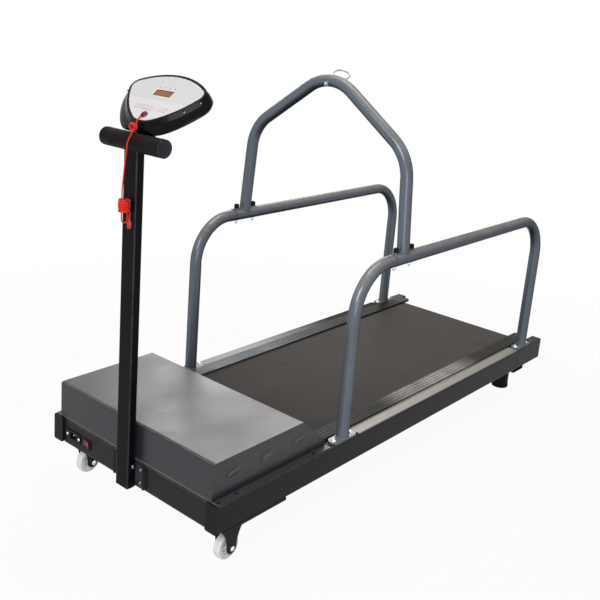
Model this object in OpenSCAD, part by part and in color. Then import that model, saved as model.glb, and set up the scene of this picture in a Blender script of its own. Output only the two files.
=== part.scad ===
// Dog treadmill: a belted running deck on a tube frame, bent handrails, a leash arch and a console mast.
// X runs from the console end to the rear, Y runs across, Z runs up from the floor. Sizes are millimetres.

/* [Frame] */
// Length of the side rails over their end caps
frame_l = 1810; // [1790:5:1900]
// Width over the side rails
frame_w = 680; // [670:2:720]
// Height of the rail undersides above the floor
rail_z = 125; // [122:1:140]
// Height of a side rail
rail_h = 80; // [78:1:90]
// Width of a side rail
rail_w = 40; // [38:1:44]
// Wall of the side rails
rail_wall = 2.5; // [2:0.1:3.5]
// Outside corner radius of the side rails
rail_r = 5; // [4:0.5:7]
// Thickness of the plastic rail end caps
end_cap_t = 6; // [4:0.5:9]
// Width of a deck support tube
support_w = 30; // [24:1:40]
// Number of deck support tubes
support_count = 3; // [2:1:5]
// Width of the rear beam under the rails
rear_beam_w = 80; // [70:1:90]
// Height of the rear beam under the rails
rear_beam_h = 40; // [34:1:44]
// Distance of the rear beam's middle from the rear end of the rails
rear_beam_inset = 103; // [95:1:115]

/* [Front panel] */
// Distance of the panel behind the rail ends
panel_recess = 8; // [7:0.5:12]
// Thickness of the folded panel
panel_t = 2.5; // [2:0.1:3.5]
// Height of the panel
panel_h = 75; // [72:1:78]
// Depth of the panel's folded lips
panel_lip = 28; // [20:1:34]
// Height of the inlet and switch above the rail undersides
fittings_h = 34; // [30:0.5:40]
// Distance of the power inlet's middle inside the outer face of the rail
inlet_inset = 84; // [82:1:92]
// Distance between the two inlet screws
inlet_screw_gap = 54; // [52:1:58]
// Distance between the middles of the power inlet and the power switch
switch_gap = 63; // [60:1:68]
// Width of the rocker
rocker_w = 27; // [24:0.5:28]
// Height of the rocker
rocker_h = 19; // [16:0.5:21]
// Tilt of the rocker to each side of its middle
rocker_tilt = 8; // [5:0.5:10]

/* [Running deck] */
// Thickness of the running board
deck_t = 18; // [15:0.5:20]
// Gap between the running board and each side rail
deck_edge = 15; // [10:1:20]
// Thickness of the rubber cushions under the board
cushion_t = 8; // [6:0.5:10]
// Distance of the running belt's edges inside the outer faces of the rails
belt_inset = 95; // [92:1:105]
// Thickness of the running belt
belt_t = 2.2; // [1.6:0.1:2.6]
// Diameter of the two rollers
roller_d = 60; // [57:0.5:64]
// Diameter of the roller shafts
shaft_d = 15; // [12:0.5:17]
// Distance of the front roller from the front of the rails
front_roller_x = 400; // [392:1:406]
// Distance of the rear roller from the rear of the rails
rear_roller_inset = 95; // [90:1:102]
// Gap between the belt's edge and the foot rail
belt_side_gap = 5; // [3:0.5:8]
// Height of the ribbed foot strip above the running board
strip_rise = 9; // [7:0.5:10]
// Thickness of the foot rail's walls
strip_t = 3; // [2:0.1:4]
// Number of ribs on a foot strip
rib_count = 8; // [4:1:10]

/* [Hood] */
// Distance of the hood behind the front of the rails
hood_front = 6; // [3:0.5:9]
// Length of the hood's flat top
hood_l = 345; // [335:1:355]
// Height of the hood above the rails
hood_h = 107; // [100:1:120]
// Length that the sloping rear covers
hood_slope = 106; // [98:1:112]
// Distance of the hood's sides inside the rails
hood_inset = 25; // [22:0.5:30]
// Thickness of the hood's sheet
hood_t = 1.5; // [1:0.1:2]
// Bend radius of the hood's edges
hood_r = 8; // [4:0.5:12]
// Length of a side louvre
louvre_l = 66; // [55:1:70]

/* [Handrails] */
// Diameter of the handrail and arch tubes
tube_d = 38; // [34:0.5:40]
// Wall of the handrail and arch tubes
tube_wall = 2; // [1.5:0.1:3]
// Centre line radius of the tube bends
bend_r = 140; // [120:1:150]
// Height of the handrail's centre line above the rails
handrail_h = 511; // [480:1:540]
// Distance of the front posts from the front of the rails
front_post_x = 530; // [526:1:540]
// Distance of the rear posts from the rear of the rails
rear_post_inset = 145; // [135:1:170]
// Distance of the tube's middle inside the outer face of the rail
handrail_inset = 18; // [18:0.5:20]
// Length of a post's base flange
flange_l = 110; // [100:1:114]
// Thickness of a post's base flange
flange_t = 6; // [4:0.5:8]
// Distance between the two bolts of a flange
flange_bolt_gap = 80; // [76:1:88]

/* [Arch] */
// Distance of the arch from the front of the rails
arch_x = 748; // [740:1:780]
// Height of the arch's top above the handrail, centre line to centre line
arch_rise = 481; // [460:1:500]
// Inward lean of the arch's legs in degrees
leg_lean = 4.2; // [3:0.1:6]
// Slope of the arch's upper runs in degrees
rafter_angle = 35.4; // [33:0.1:38]
// Length of the saddles that sit on the handrails
saddle_l = 110; // [104:1:120]
// Thickness of the saddles
saddle_t = 2.5; // [2:0.5:4]
// Distance between the two bolts of a saddle
saddle_bolt_gap = 80; // [76:1:84]
// Rise of the eye bolt towards the rear in degrees
eye_rise = 20; // [0:1:25]
// Roll of the eye about its bolt in degrees
eye_roll = 20; // [0:1:40]
// Radius of the eye to the middle of its wire
eye_r = 25; // [20:1:28]
// Diameter of the eye's wire and bolt
eye_wire = 8; // [6:0.5:9]

/* [Mast and bar] */
// Width of the mast tube across the treadmill
mast_w = 50; // [44:1:56]
// Depth of the mast tube
mast_d = 25; // [23:0.5:26]
// Distance of the mast's front face ahead of the rails
mast_front = 22.5; // [22:0.5:25]
// Wall of the mast and bar tubes
mast_wall = 2; // [1.5:0.1:3]
// Height of the handlebar's middle above the floor
bar_z = 1061; // [1055:1:1063]
// Length of the handlebar over its end caps
bar_l = 226; // [210:1:250]
// Diameter of the handlebar tube
bar_d = 32; // [30:0.5:34]
// Diameter of the foam grip
grip_d = 47; // [44:0.5:48]

/* [Console] */
// Tilt of the console's face in degrees
console_tilt = 40; // [38:0.5:42]
// Height of the face's plane above the front of the rails
console_z = 1111; // [1109:0.5:1116]
// Radius of the rounded nose
nose_r = 74; // [68:1:80]
// Radius of the bowed sides
side_r = 240; // [220:2:260]
// Radius of the two rear corners
corner_r = 20; // [16:0.5:24]
// Width of the sloping rim round the face
rim_w = 14; // [12:0.5:16]
// Drop of the sloping rim
rim_drop = 10; // [8:0.5:12]
// Depth of the whole console under its face
base_drop = 42; // [40:0.5:46]
// Width of the display window
window_w = 62; // [50:1:70]
// Height of the display window
window_h = 20; // [16:0.5:24]
// Radius of the safety key's disc
key_r = 9; // [7:0.5:10]

/* [Casters and feet] */
// Diameter of the front wheels
wheel_d = 76; // [70:1:78]
// Width of the front wheels
wheel_w = 22; // [18:0.5:24]
// Distance of the front wheels from the front of the rails
wheel_x = 90; // [85:1:100]
// Distance of a wheel's middle inside the outer face of the rail
wheel_inset = 46; // [44:0.5:48]
// Diameter of the wheel axles
axle_d = 8; // [7:0.5:10]
// Thickness of the fork plates
fork_t = 3; // [2:0.5:4]
// Thickness of the base plates under the rails
base_plate_t = 8; // [6:0.5:10]
// Diameter of the rear feet
foot_d = 64; // [56:1:68]
// Height of the rear feet's pads
foot_h = 62; // [50:1:64]
// Distance of a foot's middle inside the outer face of the rail
foot_inset = 97; // [90:1:110]
// Thread diameter of the foot stems
stem_d = 12; // [10:0.5:14]

/* [Motor bay] */
// Diameter of the drive motor
motor_d = 90; // [80:1:96]
// Length of the drive motor
motor_l = 190; // [160:2:195]
// Distance of the motor from the front of the rails
motor_x = 190; // [180:1:220]
// Diameter of the motor's pulley
motor_pulley_d = 45; // [38:1:50]
// Diameter of the front roller's pulley
roller_pulley_d = 90; // [80:1:94]
// Width of the drive belt
drive_belt_w = 16; // [10:1:18]
// Thickness of the drive belt
drive_belt_t = 3; // [2:0.1:3.5]

/* [Lanyard] */
// Diameter of the safety cord
cord_d = 3.5; // [3:0.1:3.6]
// Radius of the hank's wraps to the middle of the cord
wrap_r = 14; // [13.5:0.1:15]
// Wraps round the hank, in quarter turns
wrap_quarters = 31; // [23:4:35]
// Rise from one wrap to the next
wrap_pitch = 4.2; // [4.1:0.1:4.5]
// Radius of the small loops under the console's nose
loop_r = 9.5; // [9:0.1:10.5]

/* [Hidden] */
$fn = 48;

// Clearances: a fixed seat, a turning shaft, and parts that pass each other
seat_gap = 0.1;
run_gap = 0.05;
move_gap = 0.3;
// Overlap that carries a cut past a face
over = 1;

// Colours
black_paint = [0.09, 0.09, 0.10];
hood_paint = [0.22, 0.22, 0.24];
tube_paint = [0.36, 0.41, 0.47];
rubber = [0.06, 0.06, 0.06];
plastic = [0.05, 0.05, 0.06];
steel = [0.62, 0.63, 0.65];
chrome = [0.80, 0.81, 0.83];
alloy = [0.72, 0.72, 0.71];
belt_grey = [0.27, 0.25, 0.24];
cord_red = [0.85, 0.09, 0.07];

// Frame
rail_top = rail_z + rail_h;
rail_y = (frame_w - rail_w) / 2;
inner_y = frame_w / 2 - rail_w;
bar_x = mast_d / 2 - mast_front;
front_x = -(frame_l + bar_x - grip_d / 2) / 2;
panel_z = rail_z + panel_h / 2;
fittings_z = rail_z + fittings_h;
inlet_y = frame_w / 2 - inlet_inset;
switch_y = inlet_y - switch_gap;
panel_back = panel_recess + panel_t;
rear_beam_x = frame_l - rear_beam_inset;
beam_wall = rail_wall;

// Running deck
deck_top = rail_top;
belt_w = frame_w - 2 * belt_inset;
rear_post_x = frame_l - rear_post_inset;
post_gap = rear_post_x - front_post_x;
roller_r = roller_d / 2;
shaft_r = shaft_d / 2;
roller_z = deck_top - roller_r;
rear_roller_x = frame_l - rear_roller_inset;
belt_gap = 0.3;
drum_l = belt_w + 10;
run_clear = 4;
support_h = roller_d - deck_t - cushion_t - run_clear;
support_top = deck_top - deck_t - cushion_t;
deck_gap = 9;
deck_x0 = front_roller_x + roller_pulley_d / 2 + drive_belt_t + deck_gap;
deck_x1 = rear_roller_x - roller_r - 5;
deck_y = inner_y - deck_edge;
support_end = 100;
support_step = (deck_x1 - deck_x0 - 2 * support_end) / (support_count - 1);
cushion_size = [support_w, 40];
cushion_y = belt_w / 2 - 45;
strip_y0 = belt_w / 2 + belt_side_gap;
strip_w = inner_y - strip_y0;
strip_top = deck_top + strip_rise;
strip_x0 = deck_x0;
strip_x1 = frame_l - 120;
rib_h = 1;
rib_w = 2;
ledge_gap = 4;
ledge_x0 = front_post_x + flange_l / 2 + ledge_gap;
ledge_x1 = rear_post_x - flange_l / 2 - ledge_gap;
corner_cap_l = 70;

// Hood
hood_y = frame_w / 2 - hood_inset;
hood_top = rail_top + hood_h;
hood_slope_x = hood_front + hood_l;
hood_rear = hood_slope_x + hood_slope;
hood_lift = strip_rise + rib_h + 5;
hood_flange = hood_inset - 4;
hood_screw_x = [hood_front + 11, hood_front + 76, hood_rear - 65];
hood_screw_y = hood_y + hood_flange / 2 + 1;
hood_screw_r = 2.4;
louvre_step = 128;
louvre_x = [for (i = [0:2]) hood_front + 74 + i * louvre_step];
louvre_z = rail_top + hood_h * 0.58;
louvre_rise = 10;
louvre_r = 18;
louvre_out = 3.5;
louvre_slot = 3;
louvre_h = 2 * sqrt(louvre_r * louvre_r - (louvre_r - louvre_out) * (louvre_r - louvre_out));
louvre_end = 16;
louvre_run = louvre_l - 2 * louvre_end;

// Handrails and arch
tube_r = tube_d / 2;
// How much thinner the tube's wall is drawn, on each face, in a bend
bend_draw = 0.3;
handrail_y = frame_w / 2 - handrail_inset;
handrail_z = rail_top + handrail_h;
flange_w = 2 * handrail_inset;
bolt_r = 4;
bolt_head_r = 8;
bolt_head_h = 6;
flange_bolt_x = [for (p = [front_post_x, rear_post_x], k = [-1, 1]) p + k * flange_bolt_gap / 2];
arch_top = handrail_z + arch_rise;
arch_peak = arch_top + bend_r * (1 / cos(rafter_angle) - 1);
arch_shoulder_z = (arch_peak - handrail_y * tan(rafter_angle) - handrail_z * tan(leg_lean) * tan(rafter_angle))
  / (1 - tan(leg_lean) * tan(rafter_angle));
arch_shoulder_y = handrail_y - (arch_shoulder_z - handrail_z) * tan(leg_lean);
saddle_r = tube_r + seat_gap + saddle_t;
saddle_boss_r = 9;
saddle_boss_h = 2;
saddle_boss_z = handrail_z + saddle_r + saddle_boss_h;
saddle_bolt_x = [for (k = [-1, 1]) arch_x + k * saddle_bolt_gap / 2];
cap_nut_r = 7;
cap_nut_h = 6;

// Mast, bar and console
mast_z0 = rail_z - 2;
bar_r = bar_d / 2;
grip_r = grip_d / 2;
bar_cap_t = 6;
bracket_t = 4;
bracket_leg = 34;
bracket_h = panel_h - 6;
bracket_bolt_z = [for (k = [-1, 1]) panel_z + k * bracket_h * 0.28];
bracket_bolt_y = mast_w / 2 + bracket_t + bracket_leg / 2;
mast_bolt_z = panel_z + bracket_h / 2 - 9;
mast_bolt_x = bar_x + 3;
plate_w = 60;
plate_t = 4;
plate_l = 115;
nose_angle = 30;
side_angle = 30;
corner_angle = 91;
nose_v = 5.5;
face_t = 2;
face_gap = 0.2;
rim_edge = 7;
rim_shift = 5;
bulge = rim_w + 12;
bulge_drop = 24;
bulge_shift = 20;
foot_edge = 6;
foot_shift = 7;
// Where the housing is blunted above the handlebar, along the face, and how softly
blunt_v = on_bar_v() + grip_r - 0.8;
blunt_r = 5;
console_wall = 3;
window_v = 101;
key_v = 24;
key_h = 5;
key_stub_r = 3;
key_stub_l = 9;
key_stub_n = 5.5;
screw_r = 3.5;
face_screw_turns = [0.66, 1];
face_screw_d = (rim_edge + rim_w) / 2;

// Casters, feet and motor bay
wheel_y = frame_w / 2 - wheel_inset;
wheel_r = wheel_d / 2;
axle_r = axle_d / 2;
hub_r = wheel_r * 0.62;
fork_side_gap = 8;
fork_y = wheel_w / 2 + fork_side_gap;
fork_tip_r = 17;
fork_top_w = 112;
base_plate_x0 = 30;
base_plate_l = 240;
base_plate_z = rail_z - base_plate_t;
foot_y = frame_w / 2 - foot_inset;
stem_r = stem_d / 2;
lock_nut_h = 8;
pan_t = 3;
pan_z = rail_z + 4;
pan_x0 = 60;
pan_x1 = front_roller_x - roller_pulley_d / 2 - drive_belt_t - 8;
motor_lift = 6;
motor_z = pan_z + pan_t + motor_lift + motor_d / 2;
motor_y1 = belt_w / 2 - 20;
motor_shaft_r = 8.5;
pulley_y = belt_w / 2 + 18;
pulley_w = drive_belt_w + 4;
bearing_r = 17.5;
bearing_w = 11;
drum_wall = 4;
drum_end = 16;

// Lanyard: the hand-laid stretch below the loops, and the place of the hank
loop_at = [-12, 0, 1098];
loop_step = 4.8;
loop_rings = 51;
loop_start = 135;
loop_sweep = 765;
cord_drop = [[-24, -9.5, 1090], [-28.5, -8.5, 1082], [-33.5, -7, 1073], [-36.5, -5.5, 1062], [-37.2, -4, 1050],
  [-38, -2, 1030], [-39.2, 0, 1005], [-40.7, 1, 980], [-42.2, 1.7, 960], [-43.1, 2, 948]];
hank_top = 936;
hank_axis = [-38.8, -3.3];
hank_turn = -49.5;
fold_r = 7;
fold_z = 870;
wrap_top = 922;
wrap_rings = 24;
tail_l = 3;
cord_sides = 8;
hank_sides = 6;

// Vectors and outlines
function unit(v) = v / norm(v);
function cross2(a, b) = a[0] * b[1] - a[1] * b[0];
function bearing2(v) = atan2(v[1], v[0]);
function arc(c, r, a0, sweep, n) = [for (i = [0:n]) c + r * [cos(a0 + sweep * i / n), sin(a0 + sweep * i / n)]];

// Points of the arc of radius r that rounds the corner b between a and c
function fillet(a, b, c, r, n = 6) =
  let (u = unit(a - b), w = unit(c - b), half = acos(u * w) / 2)
  let (m = b + unit(u + w) * r / sin(half), p = b + u * r / tan(half) - m, q = b + w * r / tan(half) - m)
  arc(m, r, bearing2(p), atan2(cross2(p, q), p * q), n);

// Half of the console's outline, nose to rear, a distance d outside the face: four arcs that run into each other
shield_angles = [nose_angle, side_angle, corner_angle, 180 - nose_angle - side_angle - corner_angle];
shield_starts = [0, nose_angle, nose_angle + side_angle, nose_angle + side_angle + corner_angle];
shield_c1 = [0, nose_v + nose_r];
shield_c2 = shield_c1 + (nose_r - side_r) * [sin(shield_starts[1]), -cos(shield_starts[1])];
shield_c3 = shield_c2 + (side_r - corner_r) * [sin(shield_starts[2]), -cos(shield_starts[2])];
rear_r = corner_r + shield_c3[0] / sin(shield_starts[3]);
shield_c4 = shield_c3 + (corner_r - rear_r) * [sin(shield_starts[3]), -cos(shield_starts[3])];
shield_centres = [shield_c1, shield_c2, shield_c3, shield_c4];
shield_radii = [nose_r, side_r, corner_r, rear_r];
function shield_at(k, f, d) =
  let (t = shield_starts[k] + shield_angles[k] * f)
  shield_centres[k] + (shield_radii[k] + d) * [sin(t), -cos(t)];
function shield_half(d, n = 8) =
  concat([for (k = [0:3], i = [0:n - 1]) shield_at(k, i / n, d)], [shield_at(3, 1, d)]);
function shield(d) =
  let (h = shield_half(d), n = len(h))
  concat([for (p = h) [p[1], p[0]]], [for (i = [n - 2:-1:1]) [h[i][1], -h[i][0]]]);
// Outline moved towards the nose, which is flattened where it comes up to the handlebar
function blunt_shield(d, shift) = [for (p = shield(d)) let (a = p[0] - shift - blunt_v)
  [blunt_v + (a + sqrt(a * a + 4 * blunt_r * blunt_r)) / 2, p[1]]];
// Place in the frame of the rails of a point v along the face, u across it and n above it
function on_face(v, u, n) = [
  v * cos(console_tilt) - n * sin(console_tilt), u,
  console_z + v * sin(console_tilt) + n * cos(console_tilt)
];

// Cord routes
loop_turns = loop_sweep / 360;
loop_path = [for (i = [0:loop_rings]) let (a = loop_start + loop_sweep * i / loop_rings)
  loop_at + [-loop_step * loop_turns * i / loop_rings, loop_r * cos(a), loop_r * sin(a)]];
key_exit = on_face(key_v - key_stub_l, 0, key_stub_n);
cord_path = concat(
  [key_exit, on_face(key_v - key_stub_l - cord_d, 0, key_stub_n), [-3, -0.5, 1116.5], [-8, -2.5, 1111]],
  loop_path, cord_drop, [on_hank([-fold_r, 0, hank_top + cord_d]), on_hank([-fold_r, 0, hank_top])]);
function on_hank(p) = [
  hank_axis[0] + p[0] * cos(hank_turn) + p[1] * sin(hank_turn),
  hank_axis[1] + p[0] * sin(hank_turn) - p[1] * cos(hank_turn), p[2]
];
wrap_sweep = 90 * wrap_quarters;
wrap_end = wrap_top - wrap_pitch * wrap_sweep / 360;
wrap_count = wrap_rings * wrap_sweep / 360;
hank_local = concat(
  [for (z = [hank_top, hank_top - cord_d, 920, 900, 880]) [-fold_r, 0, z]],
  [for (a = [180:22.5:360]) [fold_r * cos(a), 0, fold_z + fold_r * sin(a)]],
  [for (z = [880, 898]) [fold_r, 0, z]],
  [for (a = [0:22.5:90]) [fold_r, fold_r - fold_r * cos(a), wrap_top - fold_r + fold_r * sin(a)]],
  [for (a = [22.5:22.5:67.5]) [(wrap_r - fold_r) * cos(a), fold_r + (wrap_r - fold_r) * sin(a), wrap_top]],
  [for (i = [0:wrap_count]) let (a = 90 + wrap_sweep * i / wrap_count)
    [wrap_r * cos(a), wrap_r * sin(a), wrap_top - wrap_pitch * (a - 90) / 360]],
  [for (a = [22.5:22.5:90]) [wrap_r, fold_r * sin(a), wrap_end - fold_r + fold_r * cos(a)]],
  [[wrap_r, fold_r, wrap_end - fold_r - tail_l], [wrap_r, fold_r, wrap_end - fold_r - tail_l - cord_d]]);
hank_path = [for (p = hank_local) on_hank(p)];
clip_at = hank_local[len(hank_local) - 1];
// Least distance between stretches of a route that lie more than a few rings apart, less the cord itself
function least_gap(p, skip = 5) =
  min([for (i = [0:len(p) - 1 - skip], j = [i + skip:len(p) - 1]) norm(p[i] - p[j])]) - cord_d;
function path_length(p) = [for (i = 1, s = norm(p[1] - p[0]); i < len(p); i = i + 1,
  s = s + (i < len(p) ? norm(p[i] - p[i - 1]) : 0)) s][len(p) - 2];
echo(str("Least gap of the loops to themselves: ", least_gap(loop_path)));
echo(str("Least gap of the hank to itself: ", least_gap(hank_path)));
echo(str("Cord length: ", path_length(cord_path) + path_length(hank_path)));

// Helpers that place and shape
module at_front() {
  translate([front_x, 0, 0]) children();
}
module both_sides() {
  children();
  mirror([0, 1, 0]) children();
}
module along_x() {
  rotate([90, 0, 90]) children();
}
module along_y() {
  rotate([90, 0, 0]) children();
}
module on_console() {
  at_front() translate([0, 0, console_z]) rotate([0, -console_tilt, 0]) children();
}
module rounded_rect(a, b, r) {
  square([a - 2 * r, b], center = true);
  square([a, b - 2 * r], center = true);
  for (i = [-1, 1], j = [-1, 1]) translate([i * (a / 2 - r), j * (b / 2 - r)]) circle(r);
}
module oblong(l, w) {
  square([l - w, w], center = true);
  for (i = [-1, 1]) translate([i * (l - w) / 2, 0]) circle(w / 2);
}
module hollow_rect(a, b, r, wall) {
  difference() {
    rounded_rect(a, b, r);
    rounded_rect(a - 2 * wall, b - 2 * wall, max(r - wall, 0.5));
  }
}
module dome(r, h) {
  ball = (r * r + h * h) / (2 * h);
  rotate_extrude() intersection() {
    translate([0, h - ball]) circle(ball);
    square([r, h]);
  }
}
module bolt(head_r, head_h, shank_r, shank_l) {
  dome(head_r, head_h);
  translate([0, 0, -shank_l]) cylinder(r = shank_r, h = shank_l);
}
// Outline of a loop round two circles
module loop(p, r, q, s) {
  face = bearing2(q - p);
  side = acos((r - s) / norm(q - p));
  translate(p) circle(r);
  translate(q) circle(s);
  polygon([p + r * [cos(face + side), sin(face + side)], q + s * [cos(face + side), sin(face + side)],
    q + s * [cos(face - side), sin(face - side)], p + r * [cos(face - side), sin(face - side)]]);
}
module tube_ring(draw) {
  difference() {
    circle(tube_r - draw);
    circle(tube_r - tube_wall + draw);
  }
}
// Straight tube along +X; what follows starts at its end
module tube_run(l) {
  rotate([0, 90, 0]) linear_extrude(l) tube_ring(0);
  translate([l, 0, 0]) children();
}
// Tube bent to the right by an angle, its wall drawn a little thinner; what follows starts at its end
module tube_bend(angle) {
  translate([0, -bend_r, 0]) {
    rotate([0, 0, 90 - angle]) bend_arc(angle);
    rotate([0, 0, -angle]) translate([0, bend_r, 0]) children();
  }
}
module bend_arc(angle) {
  rotate_extrude(angle = angle) translate([bend_r, 0]) tube_ring(bend_draw);
}
// Tube swept along the points of a cord's route
module cord_tube(p, sides) {
  n = len(p);
  along = [for (i = [0:n - 1]) unit(p[min(i + 1, n - 1)] - p[max(i - 1, 0)])];
  first = unit(cross(along[0], abs(along[0][2]) < 0.9 ? [0, 0, 1] : [0, 1, 0]));
  across = [for (i = 0, m = first; i < n; i = i + 1,
    m = i < n ? unit(m - (m * along[i]) * along[i]) : m) m];
  points = [for (i = [0:n - 1], j = [0:sides - 1]) let (a = 360 * j / sides)
    p[i] + cord_d / 2 * (cos(a) * across[i] + sin(a) * cross(along[i], across[i]))];
  walls = [for (i = [0:n - 2], j = [0:sides - 1])
    let (k = (j + 1) % sides, a = i * sides + j, b = i * sides + k, c = b + sides, d = a + sides)
    each [[a, c, b], [a, d, c]]];
  ends = [for (j = [1:sides - 2], far = [0, 1]) let (o = far * (n - 1) * sides)
    far == 0 ? [o, o + j, o + j + 1] : [o, o + j + 1, o + j]];
  polyhedron(points, concat(walls, ends), convexity = 10);
}

// Side rail on side s, with its holes for posts, hood and roller shafts
module side_rail(s) {
  color(black_paint) at_front() difference() {
    translate([end_cap_t, s * rail_y, rail_z + rail_h / 2]) along_x()
      linear_extrude(frame_l - 2 * end_cap_t) hollow_rect(rail_w, rail_h, rail_r, rail_wall);
    for (x = flange_bolt_x) translate([x, s * handrail_y, rail_top - rail_wall - over])
      cylinder(r = bolt_r + seat_gap, h = rail_wall + 2 * over);
    for (x = hood_screw_x) translate([x, s * hood_screw_y, rail_top - rail_wall - over])
      cylinder(r = hood_screw_r + seat_gap, h = rail_wall + 2 * over);
    for (x = [front_roller_x, rear_roller_x])
      translate([x, s * (inner_y + rail_wall / 2), roller_z]) along_y()
        cylinder(r = shaft_r + seat_gap, h = rail_wall + 2 * over, center = true);
  }
}
module side_rail_left() {
  side_rail(-1);
}
module side_rail_right() {
  side_rail(1);
}
// Plug and plate of a rail end cap, plate towards -X
module rail_cap() {
  plug_l = hood_screw_x[0] - hood_screw_r - end_cap_t - over;
  along_x() linear_extrude(end_cap_t) rounded_rect(rail_w, rail_h, rail_r);
  translate([end_cap_t, 0, 0]) along_x() linear_extrude(plug_l)
    rounded_rect(rail_w - 2 * rail_wall - 2 * seat_gap, rail_h - 2 * rail_wall - 2 * seat_gap, 2);
}
module end_caps() {
  color(plastic) at_front() both_sides() {
    translate([0, rail_y, rail_z + rail_h / 2]) rail_cap();
    difference() {
      translate([frame_l, rail_y, rail_z + rail_h / 2]) mirror([1, 0, 0]) rail_cap();
      translate([frame_l + over, rail_y, roller_z]) rotate([0, -90, 0])
        cylinder(r = tension_head_r + seat_gap, h = end_cap_t + 22 + over);
    }
    foot_rail_cap();
  }
}
// Plastic corner that closes the rear end of a ribbed foot strip
module foot_rail_cap() {
  translate([strip_x1, strip_y0 + strip_w / 2, rail_top]) difference() {
    linear_extrude(strip_rise + rib_h) translate([corner_cap_l / 2, 0])
      rounded_rect(corner_cap_l, strip_w, 6);
    translate([strip_t, -strip_w / 2 + strip_t, -over])
      cube([corner_cap_l - 2 * strip_t, strip_w - 2 * strip_t, strip_rise - strip_t + over]);
  }
}
module front_panel() {
  color([0.13, 0.13, 0.145]) at_front() difference() {
    translate([panel_recess, inner_y, rail_z]) along_y() linear_extrude(2 * inner_y) {
      square([panel_t, panel_h]);
      square([panel_lip, panel_t]);
      translate([0, panel_h - panel_t]) square([panel_lip, panel_t]);
    }
    panel_cut(inlet_y, inlet_body);
    panel_cut(switch_y, switch_body);
    for (k = [-1, 1]) translate([panel_recess - over, inlet_y + k * inlet_screw_gap / 2, fittings_z])
      rotate([0, 90, 0]) cylinder(r = inlet_screw_r + seat_gap, h = panel_t + 2 * over);
    for (k = [-1, 1], z = bracket_bolt_z) translate([panel_recess - over, k * bracket_bolt_y, z])
      rotate([0, 90, 0]) cylinder(r = bolt_r + seat_gap, h = panel_t + 2 * over);
  }
}
module panel_cut(y, size) {
  translate([panel_recess - over, y - size[0] / 2 - seat_gap, fittings_z - size[1] / 2 - seat_gap])
    cube([panel_t + 2 * over, size[0] + 2 * seat_gap, size[1] + 2 * seat_gap]);
}
module cross_members() {
  color(black_paint) at_front() {
    for (i = [0:support_count - 1])
      translate([deck_x0 + support_end + i * support_step, 0, support_top - support_h / 2])
        along_y() linear_extrude(2 * inner_y, center = true) hollow_rect(support_w, support_h, 3, 2);
    difference() {
      translate([rear_beam_x, 0, rail_z - rear_beam_h / 2]) along_y()
        linear_extrude(2 * rail_y - 20, center = true) hollow_rect(rear_beam_w, rear_beam_h, rail_r, beam_wall);
      for (s = [-1, 1]) translate([rear_beam_x, s * foot_y, rail_z - rear_beam_h - over])
        cylinder(r = stem_r + run_gap, h = rear_beam_h + 2 * over);
    }
  }
}
module deck_cushions() {
  color(rubber) at_front()
    for (i = [0:support_count - 1], s = [-1, 1])
      translate([deck_x0 + support_end + i * support_step, s * cushion_y, support_top])
        linear_extrude(cushion_t) rounded_rect(cushion_size[0], cushion_size[1], 4);
}
module deck() {
  color([0.20, 0.19, 0.18]) at_front() translate([deck_x0, -deck_y, deck_top - deck_t])
    cube([deck_x1 - deck_x0, 2 * deck_y, deck_t]);
}
module running_belt() {
  front = [front_roller_x, roller_z];
  rear = [rear_roller_x, roller_z];
  inside = roller_r + belt_gap;
  color(belt_grey) at_front() along_y() linear_extrude(belt_w, center = true) difference() {
    loop(front, inside + belt_t, rear, inside + belt_t);
    loop(front, inside, rear, inside);
  }
}
// Aluminium foot rail on side s: a ribbed strip over the board's edge and a flat ledge on the side rail
module foot_rail(s) {
  rib_step = (strip_w - 8) / (rib_count - 1);
  color(alloy) at_front() scale_y(s) {
    translate([strip_x0, 0, 0]) along_x() linear_extrude(strip_x1 - strip_x0) {
      translate([strip_y0, strip_top - strip_t]) square([strip_w, strip_t]);
      translate([strip_y0, deck_top]) square([strip_t, strip_rise]);
      translate([inner_y - strip_t, rail_top]) square([strip_t, strip_rise]);
      for (i = [0:rib_count - 1])
        translate([strip_y0 + 3 + i * rib_step, strip_top - strip_t]) square([rib_w, strip_t + rib_h]);
    }
    translate([ledge_x0, 0, 0]) along_x() linear_extrude(ledge_x1 - ledge_x0)
      translate([inner_y - strip_t, rail_top]) square([rail_w + strip_t, strip_t]);
  }
}
module scale_y(s) {
  mirror([0, s < 0 ? 1 : 0, 0]) children();
}
module foot_rail_left() {
  foot_rail(-1);
}
module foot_rail_right() {
  foot_rail(1);
}

// Hood profile in X and Z, from the front foot over the top to the rear foot
hood_corners = [[hood_front, rail_top], [hood_front, hood_top], [hood_slope_x, hood_top],
  [hood_rear, rail_top + hood_lift], [hood_rear, rail_top]];
module hood_profile(inset, end) {
  a = hood_corners;
  tilt = bearing2(a[2] - a[3]) - 90;
  slope_in = inset * tan((90 - tilt) / 2);
  rear_in = inset / cos(90 - tilt);
  top = hood_top - inset;
  b = [[hood_front + inset, rail_top - end], [hood_front + inset, top], [hood_slope_x - slope_in, top],
    [hood_rear + end, a[3][1] - rear_in - end * tan(90 - tilt)], [hood_rear + end, rail_top - end]];
  polygon(concat([b[0]], fillet(b[0], b[1], b[2], hood_r - inset), fillet(b[1], b[2], b[3], hood_r - inset),
    [b[3], b[4]]));
}
module louvre(x) {
  translate([x, hood_y + louvre_out - louvre_r, louvre_z]) rotate([0, -louvre_rise, 0]) {
    translate([-louvre_run / 2, 0, 0]) rotate([0, 90, 0]) cylinder(r = louvre_r, h = louvre_run);
    for (k = [-1, 1]) rotate([0, k * 90, 0]) translate([0, 0, louvre_run / 2])
      cylinder(r1 = louvre_r, r2 = louvre_r - louvre_out - 0.5, h = louvre_end);
  }
}
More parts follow.
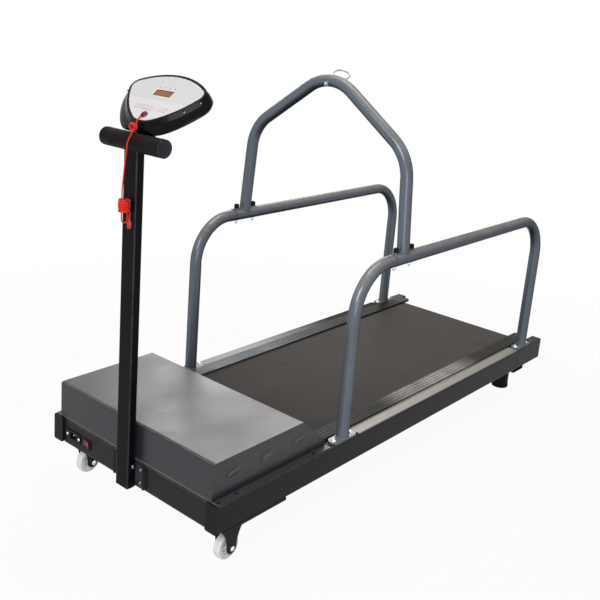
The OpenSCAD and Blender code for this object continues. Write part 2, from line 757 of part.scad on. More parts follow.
module louvre_gap(x) {
  translate([x, hood_y, louvre_z]) rotate([0, -louvre_rise, 0])
    translate([2 - louvre_run / 2, -louvre_r, -louvre_h / 2 - 0.8])
      cube([louvre_run - 4, 2 * louvre_r, louvre_slot + 0.8]);
}
module hood() {
  color(hood_paint) at_front() difference() {
    union() {
      along_y() linear_extrude(2 * hood_y, center = true) hood_profile(0, 0);
      both_sides() {
        for (x = louvre_x) louvre(x);
        translate([hood_front, hood_y - hood_t, rail_top])
          cube([hood_rear - hood_front, hood_t + hood_flange, hood_t]);
      }
    }
    along_y() linear_extrude(2 * (hood_y - hood_t), center = true) hood_profile(hood_t, over);
    both_sides() {
      for (x = louvre_x) louvre_gap(x);
      for (x = hood_screw_x) translate([x, hood_screw_y, rail_top - over])
        cylinder(r = hood_screw_r + seat_gap, h = hood_t + 2 * over);
    }
  }
}
module hood_screws() {
  color(plastic) at_front() both_sides() for (x = hood_screw_x)
    translate([x, hood_screw_y, rail_top + hood_t]) bolt(5, 3, hood_screw_r, hood_t + rail_wall + 6);
}

// Power inlet and switch in the front panel
inlet_body = [40, 24];
inlet_depth = 26;
inlet_flange = [inlet_screw_gap + 14, 32];
inlet_flange_t = 3;
inlet_screw_r = 1.9;
socket = [26, 18];
socket_depth = 17;
pin_l = 10;
switch_body = [rocker_w + 5, rocker_h + 5];
switch_depth = 24;
switch_flange_t = 2.5;
well_depth = 12;
module power_inlet() {
  color(plastic) at_front() translate([panel_recess - inlet_flange_t, inlet_y, fittings_z]) difference() {
    union() {
      along_x() linear_extrude(inlet_flange_t) rounded_rect(inlet_flange[0], inlet_flange[1], 6);
      along_x() linear_extrude(inlet_depth) square(inlet_body, center = true);
    }
    difference() {
      translate([-over, 0, 0]) along_x() linear_extrude(socket_depth + over) rounded_rect(socket[0], socket[1], 3);
      for (p = [[-7, -2], [0, 3], [7, -2]]) translate([socket_depth - pin_l, p[0] - 1, p[1] - 3])
        cube([pin_l + 2 * over, 2, 6]);
    }
    for (k = [-1, 1]) translate([-over, k * inlet_screw_gap / 2, 0]) rotate([0, 90, 0])
      cylinder(r = inlet_screw_r + seat_gap, h = inlet_flange_t + 2 * over);
  }
}
module switch_bezel() {
  well = [rocker_w + 1.2, rocker_h + 1.2];
  color(plastic) at_front() translate([panel_recess - switch_flange_t, switch_y, fittings_z]) difference() {
    union() {
      along_x() linear_extrude(switch_flange_t) rounded_rect(switch_body[0] + 6, switch_body[1] + 4, 3);
      along_x() linear_extrude(switch_depth) square(switch_body, center = true);
    }
    translate([-over, 0, 0]) along_x() linear_extrude(well_depth + over) square(well, center = true);
    translate([rocker_pin_x, 0, -rocker_h / 2 - rocker_pin_l - seat_gap])
      cylinder(r = rocker_pin_r + run_gap, h = rocker_h + 2 * (rocker_pin_l + seat_gap));
  }
}
rocker_pin_x = 6;
rocker_pin_r = 1.5;
rocker_pin_l = 1.8;
// Rocker at its off position, turned about its upright pin
module rocker() {
  half = rocker_w / 2;
  front = -2;
  color([0.72, 0.06, 0.07]) at_front()
    translate([panel_recess - switch_flange_t + rocker_pin_x, switch_y, fittings_z]) rotate([0, 0, -rocker_tilt]) {
      linear_extrude(rocker_h, center = true)
        polygon([[-rocker_pin_x + front, -half + 0.4], [-rocker_pin_x + 1.2, 0], [-rocker_pin_x + front, half - 0.4],
          [-1, half - 0.4], [3, half * 0.4], [3, -half * 0.4], [-1, -half + 0.4]]);
      cylinder(r = rocker_pin_r, h = rocker_h + 2 * rocker_pin_l, center = true);
    }
}
// Bright screws of the inlet and of the console's rim
module chrome_screws() {
  color(chrome) {
    at_front() for (k = [-1, 1])
      translate([panel_recess - inlet_flange_t, inlet_y + k * inlet_screw_gap / 2, fittings_z]) rotate([0, -90, 0])
        bolt(4.5, 2.2, inlet_screw_r, inlet_flange_t + panel_t + 5);
    on_console() for (f = face_screw_turns, s = [-1, 1]) {
      p = shield_at(1, f, face_screw_d);
      translate([p[1] - rim_shift / 2, s * p[0], -rim_drop * 0.5 - 1]) {
        cylinder(r = screw_r, h = 1.5);
        translate([0, 0, 1.5]) dome(screw_r, 1.5);
      }
    }
  }
}

// Handrail on side s: bent tube welded to two base flanges
module handrail(s) {
  post_l = handrail_h - flange_t - bend_r;
  color(tube_paint) at_front() translate([0, s * handrail_y, 0]) difference() {
    union() {
      translate([front_post_x, 0, rail_top + flange_t]) along_y() rotate([0, 0, 90])
        tube_run(post_l) tube_bend(90) tube_run(post_gap - 2 * bend_r) tube_bend(90) tube_run(post_l);
      for (x = [front_post_x, rear_post_x]) translate([x, 0, rail_top])
        linear_extrude(flange_t) oblong(flange_l, flange_w);
    }
    for (x = flange_bolt_x) translate([x, 0, rail_top - over])
      cylinder(r = bolt_r + seat_gap, h = flange_t + 2 * over);
    for (x = saddle_bolt_x) translate([x, 0, handrail_z - tube_r - over])
      cylinder(r = bolt_r + seat_gap, h = 2 * (tube_r + over));
  }
}
module handrail_left() {
  handrail(-1);
}
module handrail_right() {
  handrail(1);
}
// Bright dome bolts of the handrail flanges and of the mast's bracket
module frame_bolts() {
  color(chrome) at_front() both_sides() {
    for (x = flange_bolt_x) translate([x, handrail_y, rail_top + flange_t])
      bolt(bolt_head_r, bolt_head_h, bolt_r, flange_t + rail_wall + 8);
    for (z = bracket_bolt_z) translate([bracket_x0, bracket_bolt_y, z]) rotate([0, -90, 0])
      bolt(bolt_head_r - 1, bolt_head_h - 1, bolt_r, panel_back - bracket_x0 + 8);
    translate([mast_bolt_x, mast_w / 2 + seat_gap + bracket_t, mast_bolt_z]) rotate([-90, 0, 0])
      bolt(bolt_head_r - 1, bolt_head_h - 1, bolt_r, bracket_t + mast_wall + 8);
  }
}

// Leash arch: one bent tube from saddle to saddle
module arch() {
  shoulder_turn = 90 - rafter_angle - leg_lean;
  rafter_l = arch_shoulder_y / cos(rafter_angle) - bend_r * (tan(rafter_angle) + tan(shoulder_turn / 2));
  leg_l = (arch_shoulder_z - handrail_z) / cos(leg_lean) - bend_r * tan(shoulder_turn / 2);
  color(tube_paint) at_front() translate([arch_x, 0, 0]) difference() {
    translate([0, 0, arch_top - bend_r]) {
      along_x() rotate([0, 0, 90 - rafter_angle]) bend_arc(2 * rafter_angle);
      both_sides() along_x() rotate([0, 0, -rafter_angle]) translate([0, bend_r, 0])
        tube_run(rafter_l) tube_bend(shoulder_turn) tube_run(leg_l);
    }
    for (s = [-1, 1]) translate([0, s * handrail_y, handrail_z]) rotate([0, 90, 0])
      cylinder(r = saddle_r, h = saddle_l + 2 * over, center = true);
    at_eye() rotate([0, 90, 0])
      cylinder(r = eye_wire / 2 + seat_gap, h = 2 * (tube_r + 8), center = true);
  }
}
module arch_saddles() {
  color([0.20, 0.23, 0.27]) at_front() both_sides() translate([arch_x, handrail_y, handrail_z]) difference() {
    union() {
      rotate([0, 90, 0]) cylinder(r = saddle_r, h = saddle_l, center = true);
      for (k = [-1, 1]) translate([k * saddle_bolt_gap / 2, 0, 0])
        cylinder(r = saddle_boss_r, h = saddle_r + saddle_boss_h);
    }
    rotate([0, 90, 0]) cylinder(r = tube_r + seat_gap, h = saddle_l + 2 * over, center = true);
    translate([-saddle_l / 2 - over, -saddle_r - over, -saddle_r - over])
      cube([saddle_l + 2 * over, 2 * (saddle_r + over), saddle_r + over - 3]);
    for (k = [-1, 1]) translate([k * saddle_bolt_gap / 2, 0, 0])
      cylinder(r = bolt_r + seat_gap, h = saddle_r + saddle_boss_h + over);
  }
}
module arch_bolts() {
  nut_top = handrail_z - tube_r - seat_gap;
  color(chrome) at_front() both_sides() for (x = saddle_bolt_x) translate([x, handrail_y, 0]) {
    translate([0, 0, saddle_boss_z]) cylinder(r = 6.5, h = 5);
    translate([0, 0, nut_top - cap_nut_h]) cylinder(r = bolt_r, h = saddle_boss_z - nut_top + cap_nut_h);
    difference() {
      translate([0, 0, nut_top - cap_nut_h]) {
        cylinder(r = cap_nut_r, h = cap_nut_h, $fn = 6);
        mirror([0, 0, 1]) dome(cap_nut_r * 0.85, cap_nut_r * 0.85);
      }
      translate([0, 0, nut_top - cap_nut_h - run_gap])
        cylinder(r = bolt_r + run_gap, h = cap_nut_h + over);
    }
  }
}
module arch_bolt_caps() {
  color(plastic) at_front() both_sides() for (x = saddle_bolt_x) translate([x, handrail_y, saddle_boss_z])
    difference() {
      union() {
        cylinder(r = 8.5, h = 11);
        translate([0, 0, 11]) dome(8.5, 4);
      }
      translate([0, 0, -over]) cylinder(r = 6.5 + seat_gap, h = 5 + seat_gap + over);
    }
}
// Frame of the eye bolt: its X axis runs rearwards through the arch's top
module at_eye() {
  translate([0, 0, arch_top]) rotate([0, -eye_rise, 0]) rotate([eye_roll, 0, 0]) children();
}
module eye_bolt() {
  wire = eye_wire / 2;
  front = -tube_r - seat_gap;
  eye_x = tube_r + 8 + eye_r;
  nut_h = 8;
  color(chrome) at_front() translate([arch_x, 0, 0]) at_eye() {
    translate([front - nut_h, 0, 0]) rotate([0, 90, 0]) cylinder(r = wire, h = eye_x - eye_r - front + nut_h);
    translate([tube_r + seat_gap, 0, 0]) rotate([0, 90, 0]) cylinder(r = wire + 3, h = 3);
    translate([eye_x, 0, 0]) rotate_extrude() translate([eye_r, 0]) circle(wire * 0.75);
    difference() {
      translate([front, 0, 0]) rotate([0, -90, 0]) {
        cylinder(r = wire + 4, h = nut_h, $fn = 6);
        translate([0, 0, nut_h]) dome(wire + 2.5, wire + 1);
      }
      translate([front - nut_h - run_gap, 0, 0]) rotate([0, 90, 0]) cylinder(r = wire + run_gap, h = nut_h + over);
    }
  }
}

// Mast, its bracket on the front panel, and the handlebar
bracket_x0 = bar_x + mast_d / 2;
module mast() {
  color(black_paint) at_front() difference() {
    translate([bar_x, 0, mast_z0]) linear_extrude(bar_z - 5 - mast_z0) hollow_rect(mast_d, mast_w, 3, mast_wall);
    translate([bar_x, 0, bar_z]) along_y() cylinder(r = bar_r + seat_gap, h = mast_w + 2 * over, center = true);
    translate([mast_bolt_x, 0, mast_bolt_z]) along_y()
      cylinder(r = bolt_r + seat_gap, h = mast_w + 2 * over, center = true);
  }
}
module mast_bracket() {
  base_y = mast_w / 2 + seat_gap + bracket_t + bracket_leg;
  z0 = panel_z - bracket_h / 2;
  color(black_paint) at_front() difference() {
    union() {
      translate([bracket_x0 + seat_gap, -base_y, z0]) cube([panel_recess - bracket_x0 - seat_gap, 2 * base_y, bracket_h]);
      both_sides() {
        translate([bracket_x0 - mast_d * 0.75, mast_w / 2 + seat_gap, z0])
          cube([mast_d * 0.75 + seat_gap, bracket_t, bracket_h]);
        translate([bracket_x0 - 3, base_y - bracket_t, z0]) cube([3 + seat_gap, bracket_t, bracket_h]);
      }
    }
    for (s = [-1, 1], z = bracket_bolt_z) translate([bracket_x0 - over, s * bracket_bolt_y, z]) rotate([0, 90, 0])
      cylinder(r = bolt_r + seat_gap, h = panel_recess - bracket_x0 + 2 * over);
    translate([mast_bolt_x, 0, mast_bolt_z]) along_y()
      cylinder(r = bolt_r + seat_gap, h = 2 * base_y, center = true);
  }
}
// Tube with the plate that carries the console
module handlebar() {
  color(black_paint) {
    difference() {
      union() {
        at_front() translate([bar_x, 0, bar_z]) along_y()
          cylinder(r = bar_r, h = bar_l - 2 * bar_cap_t, center = true);
        console_plate(0);
      }
      at_front() translate([bar_x, 0, bar_z]) along_y()
        cylinder(r = bar_r - mast_wall, h = bar_l, center = true);
    }
  }
}
// Plate under the console, grown by a gap where the grip is cut to let it through
module console_plate(gap) {
  reach = on_bar_v();
  on_console() translate([reach, -plate_w / 2 - gap, -base_drop - plate_t - gap])
    cube([plate_l, plate_w + 2 * gap, plate_t + 2 * gap - (gap > 0 ? 0 : seat_gap)]);
}
// Place of the handlebar's middle along the console's face
function on_bar_v() = bar_x * cos(console_tilt) + (bar_z - console_z) * sin(console_tilt);
module handlebar_grip() {
  color(rubber) difference() {
    at_front() translate([bar_x, 0, bar_z]) along_y() linear_extrude(bar_l - 2 * bar_cap_t, center = true) difference() {
      circle(grip_r);
      circle(bar_r + seat_gap);
    }
    console_plate(move_gap);
    at_front() translate([bar_x - mast_d / 2 - move_gap, -mast_w / 2 - move_gap, bar_z - grip_d])
      cube([mast_d + 2 * move_gap, mast_w + 2 * move_gap, grip_d]);
  }
}
module bar_end_caps() {
  lip = 3;
  color(plastic) at_front() both_sides() translate([bar_x, bar_l / 2 - bar_cap_t, bar_z]) rotate([-90, 0, 0]) {
    cylinder(r = grip_r - 0.5, h = bar_cap_t - lip);
    translate([0, 0, bar_cap_t - lip]) dome(grip_r - 0.5, lip);
    translate([0, 0, -14]) cylinder(r = bar_r - mast_wall - seat_gap, h = 14);
  }
}

// Console: lower base, sloping bezel, silver face and window
module slice(d, n, shift = 0) {
  translate([0, 0, n]) linear_extrude(0.5) polygon(blunt_shield(d, shift));
}
module console_base() {
  color(plastic) on_console() difference() {
    hull() {
      slice(rim_w, -rim_drop - 0.5, rim_shift);
      slice(bulge, -bulge_drop, bulge_shift);
      slice(foot_edge, -base_drop, foot_shift);
    }
    translate([console_wall, 0, 0]) hull() {
      slice(rim_w - console_wall, -rim_drop - 0.5, rim_shift);
      slice(bulge - 2 * console_wall, -bulge_drop, bulge_shift);
      slice(foot_edge - console_wall, -base_drop + console_wall, foot_shift);
    }
  }
}
module console_bezel() {
  color([0.07, 0.07, 0.08]) on_console() difference() {
    hull() {
      slice(rim_edge, -0.5);
      slice(rim_w, -rim_drop, rim_shift);
    }
    translate([0, 0, -face_t]) linear_extrude(face_t + over) polygon(shield(face_gap));
    for (f = face_screw_turns, s = [-1, 1]) {
      p = shield_at(1, f, face_screw_d);
      translate([p[1] - rim_shift / 2, s * p[0], -rim_drop * 0.5 - 1]) cylinder(r = screw_r + seat_gap, h = rim_drop);
    }
  }
}
module console_face() {
  color([0.78, 0.79, 0.80]) on_console() difference() {
    translate([0, 0, -face_t]) linear_extrude(face_t) polygon(shield(0));
    translate([window_v - window_h / 2, -window_w / 2, -face_t - over]) cube([window_h, window_w, face_t + 2 * over]);
    translate([key_v, 0, -face_t - over]) cylinder(r = key_r + move_gap, h = face_t + 2 * over);
  }
}
module display_window() {
  color([0.30, 0.12, 0.08]) on_console()
    translate([window_v - window_h / 2 + face_gap, -window_w / 2 + face_gap, -face_t])
      cube([window_h - 2 * face_gap, window_w - 2 * face_gap, face_t - 0.4]);
}
module safety_key() {
  color(cord_red) on_console() translate([key_v, 0, 0]) {
    translate([0, 0, -face_t + move_gap]) cylinder(r = key_r, h = key_h);
    translate([0, 0, -face_t + move_gap + key_h]) dome(key_r, 4);
    translate([0, 0, key_stub_n]) rotate([0, -90, 0]) cylinder(r = key_stub_r, h = key_stub_l);
  }
}
module lanyard_cord() {
  color(cord_red) at_front() cord_tube(cord_path, cord_sides);
}
module lanyard_hank() {
  color(cord_red) at_front() cord_tube(hank_path, hank_sides);
}
// Spring clip at the cord's free end, jaws down
module lanyard_clip() {
  at = on_hank(clip_at);
  color([0.80, 0.20, 0.18]) at_front() translate(at) rotate([0, 0, hank_turn]) {
    translate([0, 0, -6]) cylinder(r = 3.2, h = 6);
    along_y() linear_extrude(7, center = true)
      polygon([[-3, -5], [3, -5], [6, -11], [4.5, -24], [1, -26], [0, -17], [-1.5, -26], [-4, -24], [-6, -11]]);
  }
}

// Front casters
module caster_plate() {
  top = base_plate_z - wheel_r;
  side = ((fork_top_w / 2 - fork_tip_r) * (fork_top_w / 2 - fork_tip_r) + top * top) / (fork_top_w - 2 * fork_tip_r);
  difference() {
    union() {
      circle(fork_tip_r);
      translate([-fork_top_w / 2, 0]) square([fork_top_w, top]);
    }
    for (k = [-1, 1]) translate([k * (fork_tip_r + side), 0]) circle(side, $fn = 96);
    circle(axle_r + seat_gap);
  }
}
module caster_brackets() {
  outer = frame_w / 2;
  inner = wheel_y - fork_y - fork_t;
  color(black_paint) at_front() both_sides() {
    translate([base_plate_x0, inner, base_plate_z]) cube([base_plate_l, outer - inner, base_plate_t]);
    for (y = [wheel_y + fork_y + fork_t, wheel_y - fork_y]) translate([wheel_x, y, wheel_r])
      along_y() linear_extrude(fork_t) caster_plate();
  }
}
module caster_axles() {
  reach = fork_y + fork_t;
  color(chrome) at_front() both_sides() translate([wheel_x, wheel_y, wheel_r]) {
    along_y() cylinder(r = axle_r, h = 2 * reach + 9, center = true);
    translate([0, reach + seat_gap, 0]) rotate([-90, 0, 0]) {
      cylinder(r = axle_r + 3, h = 3);
      translate([0, 0, 3]) dome(axle_r + 3, 3);
    }
    translate([0, -reach - seat_gap, 0]) rotate([90, 0, 0]) difference() {
      cylinder(r = axle_r + 3.5, h = 6, $fn = 6);
      translate([0, 0, -over]) cylinder(r = axle_r + run_gap, h = 6 + 2 * over);
    }
  }
}
module wheel_tyre(s) {
  round = 5;
  color([0.86, 0.87, 0.88]) at_front() translate([wheel_x, s * wheel_y, wheel_r]) along_y() rotate_extrude()
    difference() {
      union() {
        translate([0, -wheel_w / 2]) square([wheel_r - round, wheel_w]);
        translate([0, -wheel_w / 2 + round]) square([wheel_r, wheel_w - 2 * round]);
        for (k = [-1, 1]) translate([wheel_r - round, k * (wheel_w / 2 - round)]) circle(round);
      }
      translate([0, -wheel_w]) square([hub_r + seat_gap, 2 * wheel_w]);
    }
}
module wheel_hub(s) {
  holes = 5;
  hole_r = 4;
  color([0.92, 0.92, 0.92]) at_front() translate([wheel_x, s * wheel_y, wheel_r]) along_y() difference() {
    union() {
      cylinder(r = hub_r, h = wheel_w - 6, center = true);
      cylinder(r = axle_r + 5, h = 2 * (fork_y - move_gap), center = true);
    }
    cylinder(r = axle_r + run_gap, h = 2 * fork_y, center = true);
    for (i = [0:holes - 1]) rotate(i * 360 / holes) translate([(hub_r + axle_r + 5) / 2, 0, 0])
      cylinder(r = hole_r, h = 2 * wheel_w, center = true);
  }
}
module wheel_tyre_left() {
  wheel_tyre(-1);
}
module wheel_tyre_right() {
  wheel_tyre(1);
}
module wheel_hub_left() {
  wheel_hub(-1);
}
module wheel_hub_right() {
  wheel_hub(1);
}

// Rear levelling foot on side s: ribbed rubber pad on a threaded stem
module rear_foot(s) {
  lip = 4;
  color(rubber) at_front() translate([rear_beam_x, s * foot_y, 0]) {
    cylinder(r = foot_d / 2 - 1.5, h = lip);
    translate([0, 0, lip]) cylinder(r = foot_d / 2, h = 2 * lip);
    translate([0, 0, 3 * lip]) cylinder(r = foot_d / 2 - 2, h = foot_h - 3 * lip);
    translate([0, 0, foot_h]) cylinder(r = stem_r, h = rail_z + 2 - foot_h);
  }
}
module rear_foot_left() {
  rear_foot(-1);
}
module rear_foot_right() {
  rear_foot(1);
}
module foot_lock_nuts() {
  color(steel) at_front() both_sides() translate([rear_beam_x, foot_y, rail_z - rear_beam_h - lock_nut_h]) difference() {
    cylinder(r = stem_r + 5, h = lock_nut_h, $fn = 6);
    translate([0, 0, -over]) cylinder(r = stem_r + run_gap, h = lock_nut_h + 2 * over);
  }
}

// Rollers, shafts and drive
module drum(x) {
  at_front() translate([x, 0, roller_z]) along_y() rotate_extrude() difference() {
    translate([0, -drum_l / 2]) square([roller_r, drum_l]);
    translate([0, -drum_l / 2 + drum_end]) square([roller_r - drum_wall, drum_l - 2 * drum_end]);
    translate([0, -drum_l]) square([shaft_r + 2, 2 * drum_l]);
    for (k = [-1, 1]) translate([0, k * (drum_l - bearing_w) / 2]) square([2 * bearing_r + 2 * run_gap, bearing_w], center = true);
  }
}
module drum_bearings(x) {
  color(steel) at_front() translate([x, 0, roller_z]) for (k = [-1, 1])
    translate([0, k * (drum_l - bearing_w) / 2, 0]) along_y() linear_extrude(bearing_w, center = true) difference() {
      circle(bearing_r);
      circle(shaft_r + run_gap);
    }
}
module front_roller() {
  color(steel) drum(front_roller_x);
}
module rear_roller() {
  color(steel) drum(rear_roller_x);
}
module front_bearings() {
  drum_bearings(front_roller_x);
}
module rear_bearings() {
  drum_bearings(rear_roller_x);
}
module front_roller_shaft() {
  color(steel) at_front() translate([front_roller_x, 0, roller_z]) along_y()
    cylinder(r = shaft_r, h = 2 * (inner_y + 14), center = true);
}
module rear_roller_shaft() {
  color(steel) at_front() difference() {
    translate([rear_roller_x, 0, roller_z]) along_y() cylinder(r = shaft_r, h = 2 * (rail_y + 9), center = true);
    for (s = [-1, 1]) translate([rear_roller_x, s * rail_y, roller_z]) rotate([0, 90, 0])
      cylinder(r = bolt_r + seat_gap, h = 2 * shaft_d, center = true);
  }
}
tension_head_r = 6;
tension_head_h = 8;
// Long bolts that pull the rear shaft back through the end caps
module belt_tension_bolts() {
  head_x = frame_l - 1;
  tip_x = rear_roller_x - shaft_r - 6;
  color(steel) at_front() both_sides() translate([0, rail_y, roller_z]) {
    translate([head_x - tension_head_h, 0, 0]) rotate([0, 90, 0]) difference() {
      cylinder(r = tension_head_r, h = tension_head_h);
      translate([0, 0, tension_head_h - 4]) cylinder(r = 3, h = 4 + over, $fn = 6);
    }
    translate([tip_x, 0, 0]) rotate([0, 90, 0]) cylinder(r = bolt_r, h = head_x - tension_head_h - tip_x);
  }
}
// Grooved pulley of outside radius r, its first face at z = 0
module pulley(r, w, bore) {
  grooves = 4;
  step = w / grooves;
  rotate_extrude() difference() {
    translate([bore, 0]) square([r - bore, w]);
    for (i = [0:grooves - 1]) translate([r, (i + 0.5) * step])
      polygon([[over, -step * 0.3], [over, step * 0.3], [-step * 0.4, 0]]);
  }
}
module roller_pulley() {
  color(alloy) at_front() translate([front_roller_x, pulley_y + pulley_w / 2, roller_z]) along_y() {
    pulley(roller_pulley_d / 2, pulley_w, shaft_r + 2);
    translate([0, 0, pulley_w]) linear_extrude(pulley_y - pulley_w / 2 - drum_l / 2) difference() {
      circle(24);
      circle(shaft_r + 2);
    }
  }
}
module drive_motor() {
  bell = 14;
  color([0.16, 0.16, 0.17]) at_front() translate([motor_x, motor_y1, motor_z]) along_y() difference() {
    union() {
      translate([0, 0, bell]) cylinder(r = motor_d / 2, h = motor_l - 2 * bell);
      cylinder(r = motor_d / 2 - 4, h = motor_l);
    }
    translate([0, 0, -over]) cylinder(r = motor_shaft_r + run_gap, h = motor_l + 2 * over);
  }
}
module motor_rotor() {
  color(steel) at_front() translate([motor_x, pulley_y + pulley_w / 2, motor_z]) along_y() {
    cylinder(r = motor_shaft_r, h = pulley_y + pulley_w / 2 - motor_y1 + motor_l + 10);
    pulley(motor_pulley_d / 2, pulley_w, motor_shaft_r - over);
  }
}
module drive_belt() {
  motor_r = motor_pulley_d / 2 + belt_gap;
  big_r = roller_pulley_d / 2 + belt_gap;
  at_motor = [motor_x, motor_z];
  at_roller = [front_roller_x, roller_z];
  color(rubber) at_front() translate([0, pulley_y, 0]) along_y() linear_extrude(drive_belt_w, center = true)
    difference() {
      loop(at_motor, motor_r + drive_belt_t, at_roller, big_r + drive_belt_t);
      loop(at_motor, motor_r, at_roller, big_r);
    }
}
// Pan between the rails with the motor's two cradles
module motor_mount() {
  cradle_t = 8;
  cradle_w = motor_d * 0.8;
  color(black_paint) at_front() {
    translate([pan_x0, -inner_y, pan_z]) cube([pan_x1 - pan_x0, 2 * inner_y, pan_t]);
    for (f = [0.25, 0.75]) translate([motor_x, motor_y1 - motor_l * f, pan_z + pan_t]) along_y()
      linear_extrude(cradle_t, center = true) difference() {
        translate([-cradle_w / 2, 0]) square([cradle_w, motor_lift + motor_d * 0.3]);
        translate([0, motor_lift + motor_d / 2]) circle(motor_d / 2 + seat_gap);
      }
  }
}
// Speed controller with its cooling fins
module motor_controller() {
  body = [(pan_x1 - pan_x0) * 0.53, belt_w * 0.225, motor_d / 3];
  fins = 9;
  fin_t = 3;
  step = (body[1] - fin_t) / (fins - 1);
  color([0.35, 0.36, 0.38]) at_front() translate([pan_x0 + 40, -belt_w / 2 + 25, pan_z + pan_t]) {
    cube(body);
    for (i = [0:fins - 1]) translate([0, i * step, body[2]]) cube([body[0], fin_t, 22]);
  }
}

side_rail_left();
side_rail_right();
end_caps();
front_panel();
cross_members();
deck_cushions();
deck();
running_belt();
foot_rail_left();
foot_rail_right();
hood();
hood_screws();
power_inlet();
switch_bezel();
chrome_screws();
handrail_left();
handrail_right();
frame_bolts();
arch();
arch_saddles();
arch_bolts();
arch_bolt_caps();
eye_bolt();
mast();
mast_bracket();
handlebar();
handlebar_grip();
bar_end_caps();
console_base();
console_bezel();
console_face();
display_window();
caster_brackets();
caster_axles();
front_roller_shaft();
rear_roller_shaft();
belt_tension_bolts();
drive_motor();
motor_mount();
drive_belt();
motor_controller();
foot_lock_nuts();
front_roller();
roller_pulley();
front_bearings();
rear_roller();
rear_bearings();
motor_rotor();
wheel_tyre_left();
wheel_hub_left();
wheel_tyre_right();
wheel_hub_right();
rocker();
safety_key();
lanyard_cord();
lanyard_hank();
lanyard_clip();
rear_foot_left();
rear_foot_right();
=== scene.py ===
"""Looks of the dog treadmill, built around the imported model.

Metres, +Z up, X from the console end to the rear. Near is the side that the photograph shows, at -Y.
"""
import math

import bmesh
import bpy
from mathutils import Matrix, Vector


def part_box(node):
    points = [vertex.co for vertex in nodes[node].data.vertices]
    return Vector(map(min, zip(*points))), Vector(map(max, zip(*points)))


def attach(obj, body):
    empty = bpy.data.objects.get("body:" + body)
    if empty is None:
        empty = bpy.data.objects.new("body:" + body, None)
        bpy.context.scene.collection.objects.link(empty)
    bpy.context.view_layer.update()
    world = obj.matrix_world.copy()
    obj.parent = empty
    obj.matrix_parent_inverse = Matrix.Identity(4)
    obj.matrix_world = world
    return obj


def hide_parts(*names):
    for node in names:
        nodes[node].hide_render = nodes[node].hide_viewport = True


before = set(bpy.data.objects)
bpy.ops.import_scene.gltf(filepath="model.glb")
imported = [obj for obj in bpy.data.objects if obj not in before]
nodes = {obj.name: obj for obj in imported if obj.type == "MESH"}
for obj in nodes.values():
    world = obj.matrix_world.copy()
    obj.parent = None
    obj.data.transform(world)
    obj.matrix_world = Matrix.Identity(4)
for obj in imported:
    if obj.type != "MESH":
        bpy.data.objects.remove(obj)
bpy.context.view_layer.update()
scene = bpy.context.scene
scene.view_settings.view_transform = "Standard"

# The rails' front faces lie at this X, and most places below are measured from there
FRONT_X = -0.88825


def at(x, y, z):
    """Point in the row frame from millimetres behind the rails' front faces."""
    return Vector((FRONT_X + x / 1000, y / 1000, z / 1000))


# Slope and height of the console face
TILT = math.radians(40)
FACE_Z = 1111


def on_face(v, u, n):
    """Point v up the console face, u across it and n above it, in millimetres as at() takes them."""
    x = v * math.cos(TILT) - n * math.sin(TILT)
    z = FACE_Z + v * math.sin(TILT) + n * math.cos(TILT)
    return Vector((x, u, z))


def face_place(v, u, n):
    """The point of on_face() in the row frame."""
    return at(*on_face(v, u, n))


def look_camera():
    """Camera fitted to the photograph, with its slight roll and shift."""
    az, el, roll = math.radians(-49.54), math.radians(15.52), math.radians(4.24)
    back = Vector((math.sin(az) * math.cos(el), -math.cos(az) * math.cos(el), math.sin(el)))
    right = Vector((math.cos(az), math.sin(az), 0))
    up = back.cross(right)
    x = right * math.cos(roll) + up * math.sin(roll)
    y = up * math.cos(roll) - right * math.sin(roll)
    data = bpy.data.cameras.new("camera")
    data.sensor_width = 36
    data.lens = 52.64
    data.shift_x = 0.0411
    data.shift_y = -0.0878
    data.clip_end = 60
    cam = bpy.data.objects.new("camera", data)
    m = Matrix((x, y, back)).transposed().to_4x4()
    m.translation = at(-1388.6, -1649.6, 1410.6)
    cam.matrix_world = m
    scene.collection.objects.link(cam)
    scene.camera = cam


look_camera()

# Materials

# Colour sockets of the Mix node
MIX_IN, MIX_OUT = (6, 7), 2
# How far from an edge its painted highlight begins, and where it is full
HIGHLIGHT_FROM, HIGHLIGHT_FULL = 0.0045, 0.0015


